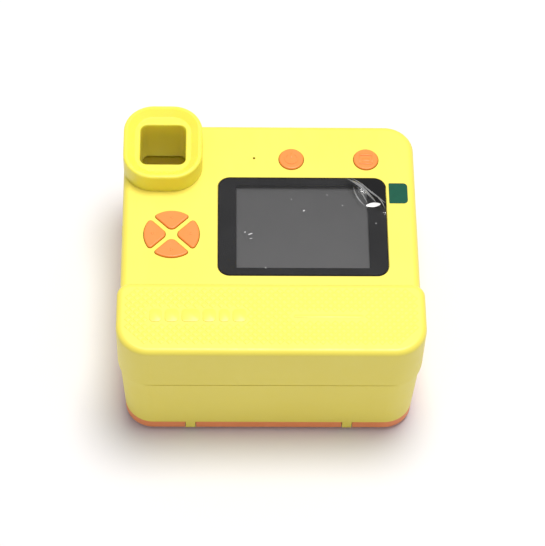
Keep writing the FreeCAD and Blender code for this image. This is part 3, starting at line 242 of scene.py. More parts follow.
class Finish:
    """A procedural material with one Principled shader, built up a layer at a time."""

    def __init__(self, name, colour, roughness, **sockets):
        self.material = bpy.data.materials.new(name)
        self.material.use_nodes = True
        self.tree = self.material.node_tree
        self.shader = self.tree.nodes["Principled BSDF"]
        self.output = self.tree.nodes["Material Output"]
        self.shader.inputs["Base Color"].default_value = (*colour, 1.0)
        self.shader.inputs["Roughness"].default_value = roughness
        for socket, value in sockets.items():
            label = socket.replace("_", " ").title().replace("Ior", "IOR")
            self.shader.inputs[label].default_value = value
        self.place = self.node("ShaderNodeTexCoord").outputs["Object"]
        self.height = None

    def node(self, kind, **settings):
        made = self.tree.nodes.new(kind)
        for name, value in settings.items():
            setattr(made, name, value)
        return made

    def join(self, source, target):
        self.tree.links.new(source, target)

    def mapped(self, scale=(1, 1, 1), turn=(0, 0, 0), move=(0, 0, 0)):
        mapping = self.node("ShaderNodeMapping")
        mapping.inputs["Scale"].default_value = scale
        mapping.inputs["Rotation"].default_value = turn
        mapping.inputs["Location"].default_value = move
        self.join(self.place, mapping.inputs["Vector"])
        return mapping.outputs["Vector"]

    def noise(self, scale, detail=3.0, rough=0.55, vector=None):
        noise = self.node("ShaderNodeTexNoise")
        noise.inputs["Scale"].default_value = scale
        noise.inputs["Detail"].default_value = detail
        noise.inputs["Roughness"].default_value = rough
        self.join(vector or self.place, noise.inputs["Vector"])
        return noise.outputs["Fac"]

    def ramp(self, source, low, high, start=0.0, end=1.0):
        """Stretches source from low..high to start..end."""
        ramp = self.node("ShaderNodeMapRange", interpolation_type="LINEAR")
        sockets = ("From Min", "From Max", "To Min", "To Max")
        for socket, value in zip(sockets, (low, high, start, end)):
            ramp.inputs[socket].default_value = value
        self.join(source, ramp.inputs["Value"])
        return ramp.outputs["Result"]

    def math(self, kind, a, b=None):
        made = self.node("ShaderNodeMath", operation=kind)
        for socket, value in zip(made.inputs, (a, b)):
            if isinstance(value, (int, float)):
                socket.default_value = value
            elif value is not None:
                self.join(value, socket)
        return made.outputs["Value"]

    def axis(self, name):
        split = self.node("ShaderNodeSeparateXYZ")
        self.join(self.place, split.inputs["Vector"])
        return split.outputs[name]

    def inside(self, low, high, soft):
        """1 inside an upright box in the piece's own plan, 0 outside it."""
        product = None
        for axis, a, b in (("X", low[0], high[0]), ("Y", low[1], high[1])):
            place = self.axis(axis)
            for edge, sign in ((a, 1), (b, -1)):
                start, end = (0.0, 1.0) if sign > 0 else (1.0, 0.0)
                step = self.ramp(place, edge - soft, edge + soft, start, end)
                product = step if product is None else self.math("MULTIPLY", product, step)
        return product

    def tint(self, factor, colour_a, colour_b):
        """Colours the surface between two colours."""
        mix = self.node("ShaderNodeMix", data_type="RGBA")
        self.join(factor, mix.inputs["Factor"])
        colours = [s for s in mix.inputs if s.type == "RGBA"]
        for socket, colour in zip(colours, (colour_a, colour_b)):
            if isinstance(colour, tuple):
                socket.default_value = (*colour, 1.0)
            else:
                self.join(colour, socket)
        result = next(s for s in mix.outputs if s.type == "RGBA")
        self.join(result, self.shader.inputs["Base Color"])
        return result

    def gloss(self, factor, low, high, start, end):
        self.join(self.ramp(factor, low, high, start, end), self.shader.inputs["Roughness"])

    def layer(self, factor, under, over):
        """Lays one shader over another by a factor."""
        mix = self.node("ShaderNodeMixShader")
        self.join(factor, mix.inputs["Fac"])
        self.join(under, mix.inputs[1])
        self.join(over, mix.inputs[2])
        return mix.outputs["Shader"]

    def pane(self, ior, roughness):
        """A see-through surface that only shines."""
        shine = self.node("ShaderNodeFresnel")
        shine.inputs["IOR"].default_value = ior
        polish = self.node("ShaderNodeBsdfGlossy")
        polish.inputs["Roughness"].default_value = roughness
        if self.height is not None:
            self.join(self.height, shine.inputs["Normal"])
            self.join(self.height, polish.inputs["Normal"])
        clear = self.node("ShaderNodeBsdfTransparent")
        return self.layer(shine.outputs["Fac"], clear.outputs["BSDF"], polish.outputs["BSDF"])

    def bump(self, factor, distance, strength=1.0):
        """Adds a layer of relief, distance metres deep."""
        bump = self.node("ShaderNodeBump")
        bump.inputs["Distance"].default_value = distance
        bump.inputs["Strength"].default_value = strength
        self.join(factor, bump.inputs["Height"])
        if self.height is not None:
            self.join(self.height, bump.inputs["Normal"])
        self.height = bump.outputs["Normal"]
        self.join(self.height, self.shader.inputs["Normal"])


def dress(material, *nodes):
    """Gives CAD nodes a finish."""
    for name in nodes:
        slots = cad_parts[name].data.materials
        slots.clear()
        slots.append(material)


# ---- finishes --------------------------------------------------------------------------------------


def moulded(name, colour, deep, roughness, grain=0.012 * MM, **sockets):
    """Injection-moulded plastic: spark-eroded grain, faint flow clouds and a few handling marks."""
    finish = Finish(name, colour, roughness, **sockets)
    cloud = finish.noise(26.0, 2.0)
    finish.tint(finish.ramp(cloud, 0.3, 0.7), colour, deep)
    wear = finish.noise(180.0, 4.0, 0.7, finish.mapped(scale=(1.0, 0.35, 1.0), turn=(0.2, 0.1, 0.6)))
    finish.gloss(wear, 0.35, 0.75, roughness - 0.05, roughness + 0.07)
    finish.bump(finish.noise(4200.0, 2.0), grain, 0.5)
    finish.bump(finish.noise(60.0, 1.0), 0.02 * MM, 0.25)
    return finish.material


def yellow_plastic():
    return moulded(
        "yellow satin shell", (0.95, 0.82, 0.12), (0.935, 0.795, 0.107), 0.42, specular_ior_level=0.5,
    )


def eyepiece_bounce_painted_plastic():
    """The shell's moulding, thinner, so that light from the dish passes through it; its colour is a
    brighter, deeper copy of the shell yellow, painted bounce light from the yellow faces round it.
    """
    return moulded(
        "yellow eyepiece, painted bounce light", (0.98, 0.86, 0.10), (0.965, 0.835, 0.09), 0.45,
        subsurface_weight=0.45, subsurface_radius=(1.0, 0.8, 0.05), subsurface_scale=0.004,
    )


def tunnel_bounce_painted_plastic():
    """Matt yellow of the eyepiece's tunnel, deeper and more saturated than the shell: painted bounce
    light between its yellow walls.
    """
    return moulded(
        "yellow tunnel wall, painted bounce light", (1.0, 0.80, 0.003), (0.96, 0.77, 0.003), 0.6, specular_ior_level=0.15,
        subsurface_weight=0.5, subsurface_radius=(1.0, 0.8, 0.02), subsurface_scale=0.006,
    )


def orange_cover_plastic():
    return moulded("orange front cover", (0.98, 0.31, 0.105), (0.95, 0.29, 0.095), 0.45)


def orange_button_plastic():
    return moulded(
        "orange button", (0.96, 0.29, 0.058), (0.94, 0.275, 0.05), 0.36, grain=0.005 * MM,
    )


def screen_glass():
    """Cover glass printed black round a window that lets the display show through."""
    finish = Finish("black printed cover glass", (0.006, 0.006, 0.0065), 0.09, ior=1.5)
    smear = finish.noise(70.0, 4.0, 0.65)
    finish.gloss(smear, 0.4, 0.8, 0.07, 0.2)
    window = finish.inside(
        (lcd_low.x + WINDOW_INSET.x, lcd_low.y + WINDOW_INSET.y),
        (lcd_high.x - WINDOW_INSET.x, lcd_high.y - WINDOW_INSET.y), WINDOW_SOFT,
    )
    whole = finish.layer(window, finish.shader.outputs["BSDF"], finish.pane(1.5, 0.06))
    finish.join(whole, finish.output.inputs["Surface"])
    return finish.material


def display_face():
    """Switched-off display: a grey polariser in a black frame, with a painted shadow along its upper
    edge.
    """
    finish = Finish("switched-off display", (0.05, 0.05, 0.052), 0.35)
    active = finish.inside(
        (lcd_low.x + DISPLAY_SIDE, lcd_low.y + DISPLAY_LOWER),
        (lcd_high.x - DISPLAY_SIDE, lcd_high.y - DISPLAY_UPPER), DISPLAY_SOFT,
    )
    # painted shadow: the upper strip of the display is darkened to 0.62 of its grey, where the
    # housing's edge would shade it
    upper = lcd_high.y - PAINTED_SHADOW_FROM_TOP
    shade = finish.ramp(finish.axis("Y"), upper - PAINTED_SHADOW_SOFT, upper + PAINTED_SHADOW_SOFT, 1.0, 0.62)
    fall = finish.ramp(finish.axis("Y"), lcd_low.y, lcd_high.y, 1.12, 0.92)
    haze = finish.ramp(finish.noise(45.0, 3.0), 0.2, 0.8, 0.9, 1.0)
    lit = finish.math("MULTIPLY", active, shade)
    grey = finish.math("MULTIPLY", lit, finish.math("MULTIPLY", fall, haze))
    finish.tint(grey, (0.012, 0.012, 0.0125), (0.053, 0.053, 0.054))
    finish.bump(finish.noise(3600.0, 0.0), 0.004 * MM, 0.3)
    return finish.material


def clear_sheet(name, tint, haze, roughness, bump_scale, bump_depth):
    """Thin clear sheet: mostly see-through, a little milky, and glossy."""
    finish = Finish(name, tint, roughness, ior=1.45)
    finish.bump(finish.noise(bump_scale, 3.0), bump_depth)
    cloud = finish.ramp(finish.noise(90.0, 4.0, 0.7), 0.3, 0.8, haze * 0.6, haze * 1.5)
    whole = finish.layer(cloud, finish.pane(1.45, roughness), finish.shader.outputs["BSDF"])
    finish.join(whole, finish.output.inputs["Surface"])
    return finish.material


def protective_film():
    return clear_sheet(
        "clear protective film", (0.75, 0.76, 0.78), 0.012, 0.10, 200.0, 0.006 * MM,
    )


def clear_window():
    return clear_sheet(
        "clear acrylic window", (0.9, 0.92, 0.92), 0.008, 0.05, 60.0, 0.002 * MM,
    )


def lens_glass():
    """Coated lens glass with a faint blue-green bloom towards its edge."""
    finish = Finish("coated lens glass", (0.01, 0.015, 0.03), 0.03, ior=1.6, coat_weight=1.0)
    facing = finish.node("ShaderNodeLayerWeight")
    facing.inputs["Blend"].default_value = 0.35
    finish.tint(facing.outputs["Facing"], (0.008, 0.012, 0.03), (0.03, 0.10, 0.16))
    finish.gloss(finish.noise(120.0), 0.4, 0.7, 0.02, 0.06)
    return finish.material


def green_tab_film():
    """Printed pull tab: slightly mottled ink on thin film."""
    finish = Finish("green pull tab", (0.0, 0.09, 0.05), 0.4, specular_ior_level=0.2)
    finish.tint(finish.noise(420.0, 3.0), (0.002, 0.075, 0.042), (0.004, 0.105, 0.06))
    finish.bump(finish.noise(260.0, 2.0), 0.03 * MM, 0.6)
    return finish.material


def black_plastic():
    return moulded("black moulded plastic", (0.018, 0.018, 0.02), (0.028, 0.028, 0.03), 0.5)


def frame_plastic():
    """Glass-filled nylon: dark grey with pale flecks of fibre."""
    finish = Finish("glass-filled frame plastic", (0.035, 0.035, 0.038), 0.6)
    fleck = finish.noise(1500.0, 4.0, 0.8, finish.mapped(scale=(0.3, 1.0, 1.0), turn=(0, 0, 0.3)))
    finish.tint(finish.ramp(fleck, 0.55, 0.75), (0.03, 0.03, 0.033), (0.10, 0.10, 0.105))
    finish.bump(fleck, 0.015 * MM, 0.6)
    return finish.material


def circuit_board():
    """Green solder mask over copper tracks, with bright pads."""
    finish = Finish("green circuit board", (0.01, 0.10, 0.04), 0.3)
    grid = finish.node("ShaderNodeTexBrick", offset=0.5, squash=1.0)
    grid.inputs["Scale"].default_value = 320.0
    grid.inputs["Mortar Size"].default_value = 0.14
    grid.inputs["Mortar Smooth"].default_value = 0.1
    finish.join(finish.mapped(turn=(0, 0, math.radians(45))), grid.inputs["Vector"])
    patches = finish.ramp(finish.noise(60.0, 0.0), 0.45, 0.5)
    tracks = finish.math("MULTIPLY", grid.outputs["Fac"], patches)
    finish.tint(tracks, (0.008, 0.085, 0.035), (0.03, 0.17, 0.07))
    finish.bump(tracks, 0.03 * MM, 0.7)
    return finish.material


def brushed_metal(name, colour, along, roughness=0.3, grain=3000.0):
    """Drawn or ground metal whose scratches run along one axis."""
    finish = Finish(name, colour, roughness, metallic=1.0)
    scale = tuple(0.03 if axis == along else 1.0 for axis in "XYZ")
    streak = finish.noise(grain, 3.0, 0.7, finish.mapped(scale=scale))
    darker = tuple(c * 0.8 for c in colour)
    finish.tint(streak, darker, colour)
    finish.gloss(streak, 0.3, 0.7, roughness - 0.08, roughness + 0.12)
    finish.bump(streak, 0.004 * MM, 0.5)
    return finish.material


def roller_rubber():
    """Ground silicone rubber: dark, with fine rings left by the grinding wheel."""
    finish = Finish("ground roller rubber", (0.02, 0.02, 0.021), 0.7)
    rings = finish.noise(2400.0, 2.0, 0.6, finish.mapped(scale=(1.0, 0.05, 0.05)))
    finish.tint(rings, (0.015, 0.015, 0.016), (0.035, 0.035, 0.036))
    finish.bump(rings, 0.02 * MM, 0.7)
    return finish.material


def flap_rubber():
    return moulded("soft yellow rubber", (0.93, 0.76, 0.07), (0.9, 0.73, 0.06), 0.62, grain=0.02 * MM)


def gear_plastic():
    """Natural acetal: milky, slightly waxy."""
    return moulded(
        "natural acetal", (0.80, 0.79, 0.73), (0.77, 0.75, 0.68), 0.33,
        subsurface_weight=0.15, subsurface_scale=0.002,
    )


def thermal_paper():
    """Coated paper wound on a roll: smooth outside, with the turns showing on its ends."""
    finish = Finish("wound thermal paper", (0.86, 0.86, 0.84), 0.55)
    centre = (roll_low + roll_high) / 2
    y = finish.math("SUBTRACT", finish.axis("Y"), centre.y)
    z = finish.math("SUBTRACT", finish.axis("Z"), centre.z)
    square = finish.math("ADD", finish.math("MULTIPLY", y, y), finish.math("MULTIPLY", z, z))
    radius = finish.math("SQRT", square)
    turns = finish.math("SINE", finish.math("MULTIPLY", radius, 2 * math.pi / (0.35 * MM)))
    finish.tint(finish.ramp(turns, -1.0, 1.0), (0.80, 0.80, 0.77), (0.88, 0.88, 0.87))
    finish.bump(turns, 0.02 * MM, 0.4)
    finish.bump(finish.noise(900.0, 3.0), 0.006 * MM, 0.5)
    return finish.material


def core_card():
    """Grey-brown card with short fibres."""
    finish = Finish("wound card", (0.42, 0.30, 0.18), 0.85)
    fibre = finish.noise(1200.0, 5.0, 0.8, finish.mapped(scale=(0.25, 1, 1)))
    finish.tint(fibre, (0.34, 0.235, 0.14), (0.50, 0.37, 0.24))
    finish.bump(fibre, 0.03 * MM, 0.7)
    return finish.material


def battery_wrap():
    """Blue shrink film with soft wrinkles, and a yellow insulating tape at the lead end."""
    finish = Finish("blue battery wrap", (0.03, 0.07, 0.26), 0.28)
    tape = finish.ramp(finish.axis("Y"), battery_high.y - 5.2 * MM, battery_high.y - 5.0 * MM)
    finish.tint(tape, (0.025, 0.06, 0.24), (0.72, 0.45, 0.06))
    wrinkle = finish.noise(170.0, 3.0, 0.6, finish.mapped(scale=(1.0, 0.3, 1.0)))
    finish.bump(wrinkle, 0.12 * MM, 0.6)
    return finish.material


def led_phosphor():
    """Yellow phosphor dome in a white reflector."""
    finish = Finish("led phosphor", (0.9, 0.75, 0.2), 0.35)
    finish.tint(finish.noise(900.0), (0.9, 0.72, 0.16), (0.92, 0.82, 0.32))
    return finish.material


def table_surface():
    """Matt pale tabletop with a barely visible tooth."""
    finish = Finish("pale table", (0.86, 0.85, 0.875), 0.7, specular_ior_level=0.25)
    finish.tint(finish.noise(3.0, 2.0), (0.855, 0.845, 0.87), (0.875, 0.865, 0.89))
    finish.bump(finish.noise(500.0, 3.0), 0.03 * MM, 0.3)
    return finish.material


# ---- pieces ----------------------------------------------------------------------------------------


def in_rounded_box(x, y, low, high, radius):
    """True if a plan point lies inside a rounded rectangle."""
    cx = min(max(x, low[0] + radius), high[0] - radius)
    cy = min(max(y, low[1] + radius), high[1] - radius)
    return math.hypot(x - cx, y - cy) <= radius


def mark_places():
    """Centre and width of each raised bar of the mark on the door."""
    scale = (MARK_SPAN - MARK_GAP * (len(MARK_WIDTHS) - 1)) / sum(MARK_WIDTHS)
    x = door_low.x + MARK_FROM_LEFT
    y = door_high.y - MARK_FROM_CREASE - MARK_TALL / 2
    places = []
    for width in MARK_WIDTHS:
        places.append((x + width * scale / 2, y, width * scale))
        x += width * scale + MARK_GAP
    return places


def line_place():
    return door_high.x - LINE_FROM_RIGHT - LINE_LONG / 2, door_high.y - LINE_FROM_CREASE


def on_mark(x, y):
    """True where the mark or the plain line leaves no room for a diamond."""
    for cx, cy, width in mark_places():
        if abs(x - cx) < width / 2 + MARK_MARGIN and abs(y - cy) < MARK_TALL / 2 + MARK_MARGIN:
            return True
    cx, cy = line_place()
    return abs(x - cx) < LINE_LONG / 2 + MARK_MARGIN and abs(y - cy) < LINE_WIDE / 2 + MARK_MARGIN


def door_diamonds(material):
    """The grip pattern: rows of low pyramids with flat tops, half a step apart."""
    bm = bmesh.new()
    reach = DIAMOND_PITCH / 2 * DIAMOND_FILL
    depth = DIAMOND_RISE + DIAMOND_SINK
    bmesh.ops.create_cone(
        bm, cap_ends=True, segments=4, radius1=reach, radius2=reach * DIAMOND_FLAT, depth=depth,
        matrix=Matrix.Translation((0, 0, DOOR_Z - DIAMOND_SINK + depth / 2)),
    )
    upper = [e for e in bm.edges if min(v.co.z for v in e.verts) > DOOR_Z]
    bevelled(bm, upper, DIAMOND_EDGE, segments=1)
    master = list(bm.verts) + list(bm.edges) + list(bm.faces)
    low = (door_low.x + DIAMOND_BORDER, door_low.y + DIAMOND_BORDER)
    high = (door_high.x - DIAMOND_BORDER, door_high.y - DIAMOND_BORDER)
    middle = (low[0] + high[0]) / 2
    rows = int((high[1] - low[1]) / (DIAMOND_PITCH / 2)) + 1
    across = int((high[0] - low[0]) / DIAMOND_PITCH / 2) + 1
    for row in range(rows):
        y = high[1] - DIAMOND_PITCH / 2 - row * DIAMOND_PITCH / 2
        for step in range(-across, across + 1):
            x = middle + (step + (row % 2) / 2) * DIAMOND_PITCH
            corner = FIELD_FRONT_R if y < (low[1] + high[1]) / 2 else FIELD_BACK_R
            inner_low, inner_high = [v + reach for v in low], [v - reach for v in high]
            if on_mark(x, y) or not in_rounded_box(x, y, inner_low, inner_high, corner):
                continue
            copy = bmesh.ops.duplicate(bm, geom=master)["geom"]
            verts = [v for v in copy if isinstance(v, bmesh.types.BMVert)]
            bmesh.ops.translate(bm, vec=(x, y, 0), verts=verts)
    verts = [v for v in master if isinstance(v, bmesh.types.BMVert)]
    bmesh.ops.delete(bm, geom=verts, context="VERTS")
    return piece("door_diamonds", bm, "door", material, smooth=False)


def door_mark(material):
    """Generic raised mark: six plain bars, and one thin line at the other side."""
    bm = bmesh.new()
    foot = DOOR_Z - DIAMOND_SINK
    for x, y, width in mark_places():
        pill(bm, x, y, foot, DOOR_Z + MARK_RISE, width, MARK_TALL, MARK_CORNER_R, MARK_EDGE)
    x, y = line_place()
    pill(bm, x, y, foot, DOOR_Z + LINE_RISE, LINE_LONG, LINE_WIDE, LINE_CORNER_R, LINE_EDGE)
    return piece("door_mark", bm, "door", material)


def film_height(x, y):
    """How far the film stands off the glass: it lifts and ripples along the creased corner.

    s runs across the crease and is 0 on it; t runs along it, from 0 to 1.
    """
    right = glass_high.x - FILM_INSET
    top = glass_high.y - FILM_INSET
    along = Vector((-CREASE_FROM_RIGHT, CREASE_FROM_TOP)).normalized()
    start = Vector((right, top - CREASE_FROM_TOP))
    across = Vector((along.y, -along.x))
    offset = Vector((x, y)) - start
    s = offset.dot(across)
    t = offset.dot(along) / math.hypot(CREASE_FROM_RIGHT, CREASE_FROM_TOP)
    lift = max(0.0, 1.0 + s / CURL_REACH)
    curl = lift ** 2 * (1.1 + 0.35 * math.sin(9.0 * t + 0.6))
    ripple = 0.22 * math.sin(s / RIPPLE_STEP + 4.0 * t) * min(1.0, lift * 1.6) * (1.0 - t * 0.3)
    return FILM_LIFT * 0.42 * curl + RIPPLE_RISE * ripple * lift


def protective_sheet(material):
    """The clear film left on the screen, cut across by a crease where its corner has been pulled."""
    bm = bmesh.new()
    low = (glass_low.x + FILM_INSET, glass_low.y + FILM_INSET)
    high = (glass_high.x - FILM_INSET, glass_high.y - FILM_INSET)
    width, length = high[0] - low[0], high[1] - low[1]
    bmesh.ops.create_grid(
        bm, x_segments=round(width / FILM_CELL), y_segments=round(length / FILM_CELL), size=0.5,
        matrix=Matrix.Translation(((low[0] + high[0]) / 2, (low[1] + high[1]) / 2, 0))
        @ Matrix.Diagonal((width, length, 1, 1)),
    )
    along = Vector((-CREASE_FROM_RIGHT, CREASE_FROM_TOP, 0)).normalized()
    bmesh.ops.bisect_plane(
        bm, geom=list(bm.verts) + list(bm.edges) + list(bm.faces), dist=1e-6,
        plane_co=(high[0], high[1] - CREASE_FROM_TOP, 0), plane_no=(along.y, -along.x, 0),
        clear_outer=True,
    )
    for vert in bm.verts:
        x, y = vert.co.x, vert.co.y
        cx = min(max(x, low[0] + FILM_CORNER_R), high[0] - FILM_CORNER_R)
        cy = min(max(y, low[1] + FILM_CORNER_R), high[1] - FILM_CORNER_R)
        reach = math.hypot(x - cx, y - cy)
        if reach > FILM_CORNER_R:
            vert.co.x = cx + (x - cx) * FILM_CORNER_R / reach
            vert.co.y = cy + (y - cy) * FILM_CORNER_R / reach
    for vert in bm.verts:
        vert.co.z = REAR_Z + FILM_GAP + film_height(vert.co.x, vert.co.y)
    bmesh.ops.remove_doubles(bm, verts=bm.verts, dist=FILM_WELD)
    sheet = piece("protective_film", bm, "camera", material)
    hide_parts("screen_film")
    return sheet


def fold_strip(bm, points, width, crest):
    """A narrow ridge along a curve through three plan points, tapered at both ends."""
    strip = bmesh.ops.create_grid(bm, x_segments=24, y_segments=2, size=0.5)["verts"]
    start, middle, end = (Vector(point) * MM for point in points)
    for vert in strip:
        t, side = vert.co.x + 0.5, vert.co.y * 2
        place = start * (1 - t) ** 2 + middle * 2 * t * (1 - t) + end * t ** 2
        along = ((middle - start) * (1 - t) + (end - middle) * t).normalized()
        spread = width * MM / 2 * side * math.sin(math.pi * (0.08 + 0.84 * t))
        x = glass_high.x + (place.x - along.y * spread)
        y = glass_high.y + (place.y + along.x * spread)
        ridge = crest * MM * (1 - abs(side))
        vert.co = (x, y, REAR_Z + FOLD_GAP + film_height(x, y) + ridge)


def film_folds(material, glint):
    """Raised folds beside the crease, whitened as painted highlights, and one flat white fold that is a
    painted glint.
    """
    bm = bmesh.new()
    for points, width, crest in FOLDS:
        fold_strip(bm, points, width, crest)
    piece("film_folds", bm, "camera", material)
    bm = bmesh.new()
    fold_strip(bm, *PAINTED_GLINT_FOLD)
    return piece("film_painted_glint", bm, "camera", glint)


def film_specks(material):
    """Dust caught under the film: a few flat flecks."""
    bm = bmesh.new()
    centre = (glass_low + glass_high) / 2
    for x, y, width, length, turn in SPECKS:
        place = Matrix.Translation((centre.x + x * MM, centre.y + y * MM, REAR_Z + SPECK_GAP))
        size = Matrix.Diagonal((width * MM, length * MM, SPECK_TALL, 1))
        shape = place @ Matrix.Rotation(turn, 4, "Z") @ size
        bmesh.ops.create_icosphere(bm, subdivisions=2, radius=0.5, matrix=shape)
    return piece("film_specks", bm, "camera", material)


def ring_arc(bm, x, y, z, radius, half_width, height, start, sweep, steps):
    """Raised arc of even width, made by spinning a small square section."""
    section = bmesh.ops.create_grid(
        bm, x_segments=1, y_segments=1, size=0.5,
        matrix=Matrix.Translation((x + radius, y, z)) @ Matrix.Rotation(math.pi / 2, 4, "X")
        @ Matrix.Diagonal((2 * half_width, height, 1, 1)),
    )["verts"]
    bmesh.ops.rotate(bm, cent=(x, y, z), matrix=Matrix.Rotation(start, 3, "Z"), verts=section)
    faces = list({f for v in section for f in v.link_faces})
    geom = section + list({e for v in section for e in v.link_edges}) + faces
    bmesh.ops.spin(
        bm, geom=geom, cent=(x, y, z), axis=(0, 0, 1), angle=sweep, steps=steps,
        use_duplicate=False,
    )


def cap_centre(node):
    """Centre of a button's upper face."""
    low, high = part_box(node)
    return (low.x + high.x) / 2, (low.y + high.y) / 2, high.z


def power_icon(material):
    """Raised ring with a gap and a bar, as on any power key."""
    bm = bmesh.new()
    x, y, z = cap_centre("power_button")
    start = math.radians(90) + (2 * math.pi - POWER_SWEEP) / 2
    ring_arc(bm, x, y, z, POWER_RING_R, ICON_LINE / 2, 2 * ICON_RISE, start, POWER_SWEEP, 28)
    pill(
        bm, x, y + POWER_BAR_UP, z - ICON_RISE, z + ICON_RISE, ICON_LINE, POWER_BAR_LONG,
        ICON_LINE / 2, POWER_BAR_EDGE,
    )
    return piece("power_icon", bm, "power_button", material)


def mode_icon(material):
    """Raised picture frame with a small panel in it, for picture or film mode."""
    bm = bmesh.new()
    x, y, z = cap_centre("mode_button")
    for dx, dy, width, length, rise in MODE_BARS:
        pill(
            bm, x + dx * MM, y + dy * MM, z - ICON_RISE, z + ICON_RISE * rise,
            width * MM, length * MM, MODE_CORNER_R, MODE_EDGE,
        )
    return piece("mode_icon", bm, "mode_button", material)


def key_pips(material):
    """A small raised pip on each direction key, pointing outwards."""
    right, left = cap_centre("right_button"), cap_centre("left_button")
    up, down = cap_centre("up_button"), cap_centre("down_button")
    centre = ((right[0] + left[0]) / 2, (up[1] + down[1]) / 2)
    for turn, name in enumerate(("right", "up", "left", "down")):
        bm = bmesh.new()
        angle = turn * math.pi / 2
        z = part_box(name + "_button")[1].z
        x = centre[0] + PIP_REACH * math.cos(angle)
        y = centre[1] + PIP_REACH * math.sin(angle)
        bmesh.ops.create_cone(
            bm, cap_ends=True, segments=3, radius1=PIP_FOOT_R, radius2=PIP_TOP_R, depth=2 * ICON_RISE,
            matrix=Matrix.Translation((x, y, z)) @ Matrix.Rotation(angle, 4, "Z"),
        )
        bevelled(bm, [e for e in bm.edges if max(v.co.z for v in e.verts) > z], PIP_EDGE)
        piece(name + "_pip", bm, name + "_button", material)


def flap_grip(material):
    """Three finger ribs on the free end of the rubber port flap."""
    bm = bmesh.new()
    z = (flap_low.z + flap_high.z) / 2
    for index in range(RIB_COUNT):
        y = flap_high.y - RIB_FROM_END - RIB_PITCH * index
        made = bmesh.ops.create_cube(
            bm, size=1.0,
            matrix=Matrix.Translation((flap_low.x, y, z)) @ Matrix.Diagonal((*RIB_SIZE, 1)),
        )["verts"]
        bevelled(bm, list({e for v in made for e in v.link_edges}), RIB_EDGE)
    return piece("flap_grip", bm, "port_flap", material)


def lens_trim(material):
    """Stepped ring printed and turned inside the lens window."""
    bm = bmesh.new()
    centre = (ring_low + ring_high) / 2
    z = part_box("lens_window")[0].z - TRIM_GAP
    for radius, width in TRIM_RINGS:
        ring_arc(bm, centre.x, centre.y, z, radius, width / 2, TRIM_TALL, 0.0, 2 * math.pi, 96)
    bmesh.ops.remove_doubles(bm, verts=bm.verts, dist=1e-6)
    return piece("lens_trim", bm, "camera", material)


# ---- staging ---------------------------------------------------------------------------------------

CAMERA_PLACE = (-0.01914, -0.46041, 0.74877)
CAMERA_AIM = (0.00076, -0.01508, 0.0497)
CAMERA_ROLL = 2.393
CAMERA_LENS = 147.85
CAMERA_NEAR, CAMERA_FAR = 0.05, 20.0

KEY_PLACE = (0.12, 0.17, 1.4)
KEY_SIZE = 0.66
KEY_POWER = 17.8
KEY_COLOUR = (1.0, 0.99, 0.975)
KEY_AIM = (0, 0, 0.03)
ROOM_COLOUR = (0.98, 0.97, 1.0, 1.0)
ROOM_STRENGTH = 0.38
TABLE_R = 2.5


def place_camera():
    data = bpy.data.cameras.new("camera view")
    data.lens = CAMERA_LENS
    data.clip_start = CAMERA_NEAR
    data.clip_end = CAMERA_FAR
    camera = bpy.data.objects.new("camera view", data)
    bpy.context.scene.collection.objects.link(camera)
    camera.location = CAMERA_PLACE
    gaze = Vector(CAMERA_AIM) - Vector(CAMERA_PLACE)
    roll = Matrix.Rotation(math.radians(CAMERA_ROLL), 3, "Z")
    camera.rotation_euler = (gaze.to_track_quat("-Z", "Y").to_matrix() @ roll).to_euler()
    bpy.context.scene.camera = camera


def soft_light(name, place, size, power, colour, aim):
    data = bpy.data.lights.new(name, "AREA")
    data.shape = "DISK"
    data.size = size
    data.energy = power
    data.color = colour
    lamp = bpy.data.objects.new(name, data)
    bpy.context.scene.collection.objects.link(lamp)
    lamp.location = place
    lamp.rotation_euler = (Vector(aim) - Vector(place)).to_track_quat("-Z", "Y").to_euler()


def light_scene():
    world = bpy.data.worlds.new("soft room")
    world.use_nodes = True
    world.node_tree.nodes["Background"].inputs["Color"].default_value = ROOM_COLOUR
    world.node_tree.nodes["Background"].inputs["Strength"].default_value = ROOM_STRENGTH
    bpy.context.scene.world = world
    soft_light("overhead key", KEY_PLACE, KEY_SIZE, KEY_POWER, KEY_COLOUR, KEY_AIM)
    bpy.context.scene.view_settings.view_transform = "Standard"
    bpy.context.scene.view_settings.look = "None"


def lay_table():
    bm = bmesh.new()
    bmesh.ops.create_circle(bm, cap_ends=True, segments=96, radius=TABLE_R)
    mesh = bpy.data.meshes.new("table")
    bm.to_mesh(mesh)
    bm.free()
    table = bpy.data.objects.new("table", mesh)
    bpy.context.scene.collection.objects.link(table)
    mesh.materials.append(table_surface())


# ---- put together ----------------------------------------------------------------------------------

yellow = yellow_plastic()
orange = orange_button_plastic()
black = black_plastic()
film = protective_film()
clear = clear_window()
steel_along_x = brushed_metal("drawn steel rod", (0.60, 0.61, 0.63), "X")
steel_along_z = brushed_metal("zinc-plated steel", (0.62, 0.63, 0.66), "Z", 0.26)

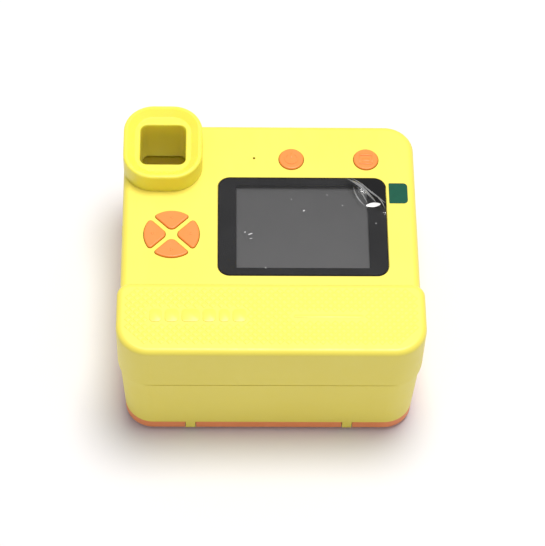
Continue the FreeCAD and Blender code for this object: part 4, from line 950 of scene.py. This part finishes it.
dress(yellow, "front_shell", "rear_shell", "paper_door")
dress(eyepiece_bounce_painted_plastic(), "eyepiece")
dress(tunnel_bounce_painted_plastic(), "viewfinder_tube")
dress(orange_cover_plastic(), "front_cover")
dress(
    orange, "power_button", "mode_button", "right_button", "up_button", "left_button", "down_button",
    "shutter_button",
)
dress(clear, "eyepiece_window", "front_window", "flash_lens", "lens_window")
dress(screen_glass(), "screen_glass")
dress(display_face(), "lcd_module")
dress(green_tab_film(), "film_tab")
dress(yellow, "lens_ring")
dress(lens_glass(), "front_lens", "rear_lens")
dress(
    black, "lens_barrel", "speaker", "microphone", "card_socket", "tact_switches", "image_sensor",
    "print_head", "shutter_switch",
)
dress(frame_plastic(), "printer_frame")
dress(circuit_board(), "main_board", "camera_board", "flash_board", "shutter_board")
dress(
    steel_along_x, "door_hinge_pin", "platen_shaft", "motor_shaft", "tear_bar", "head_springs",
    "printer_motor",
)
dress(steel_along_z, "case_screws", "board_screws", "frame_screws", "strap_bar", "usb_port")
dress(brushed_metal("milled aluminium", (0.78, 0.79, 0.80), "X", 0.34), "head_sink")
dress(roller_rubber(), "platen_roller")
dress(flap_rubber(), "port_flap")
dress(brushed_metal("turned brass", (0.80, 0.58, 0.24), "Y", 0.25), "platen_bushes")
dress(gear_plastic(), "platen_gear", "idler_gear", "motor_pinion")
dress(thermal_paper(), "paper_roll")
dress(core_card(), "paper_core")
dress(battery_wrap(), "battery")
dress(led_phosphor(), "flash_led")

door_diamonds(yellow)
door_mark(yellow)
protective_sheet(film)
film_folds(
    # the creased film's milky white is painted highlight; the folded film's flat white is a painted
    # glint
    clear_sheet("creased film, painted highlights", (0.93, 0.94, 0.96), 0.32, 0.15, 500.0, 0.05 * MM),
    clear_sheet("folded film, painted glint", (0.98, 0.98, 0.98), 0.8, 0.2, 300.0, 0.02 * MM),
)
film_specks(clear_sheet("dust fleck", (0.85, 0.85, 0.86), 0.55, 0.5, 300.0, 0.02 * MM))
power_icon(orange)
mode_icon(orange)
key_pips(orange)
flap_grip(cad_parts["port_flap"].data.materials[0])
lens_trim(black)

lay_table()
place_camera()
light_scene()
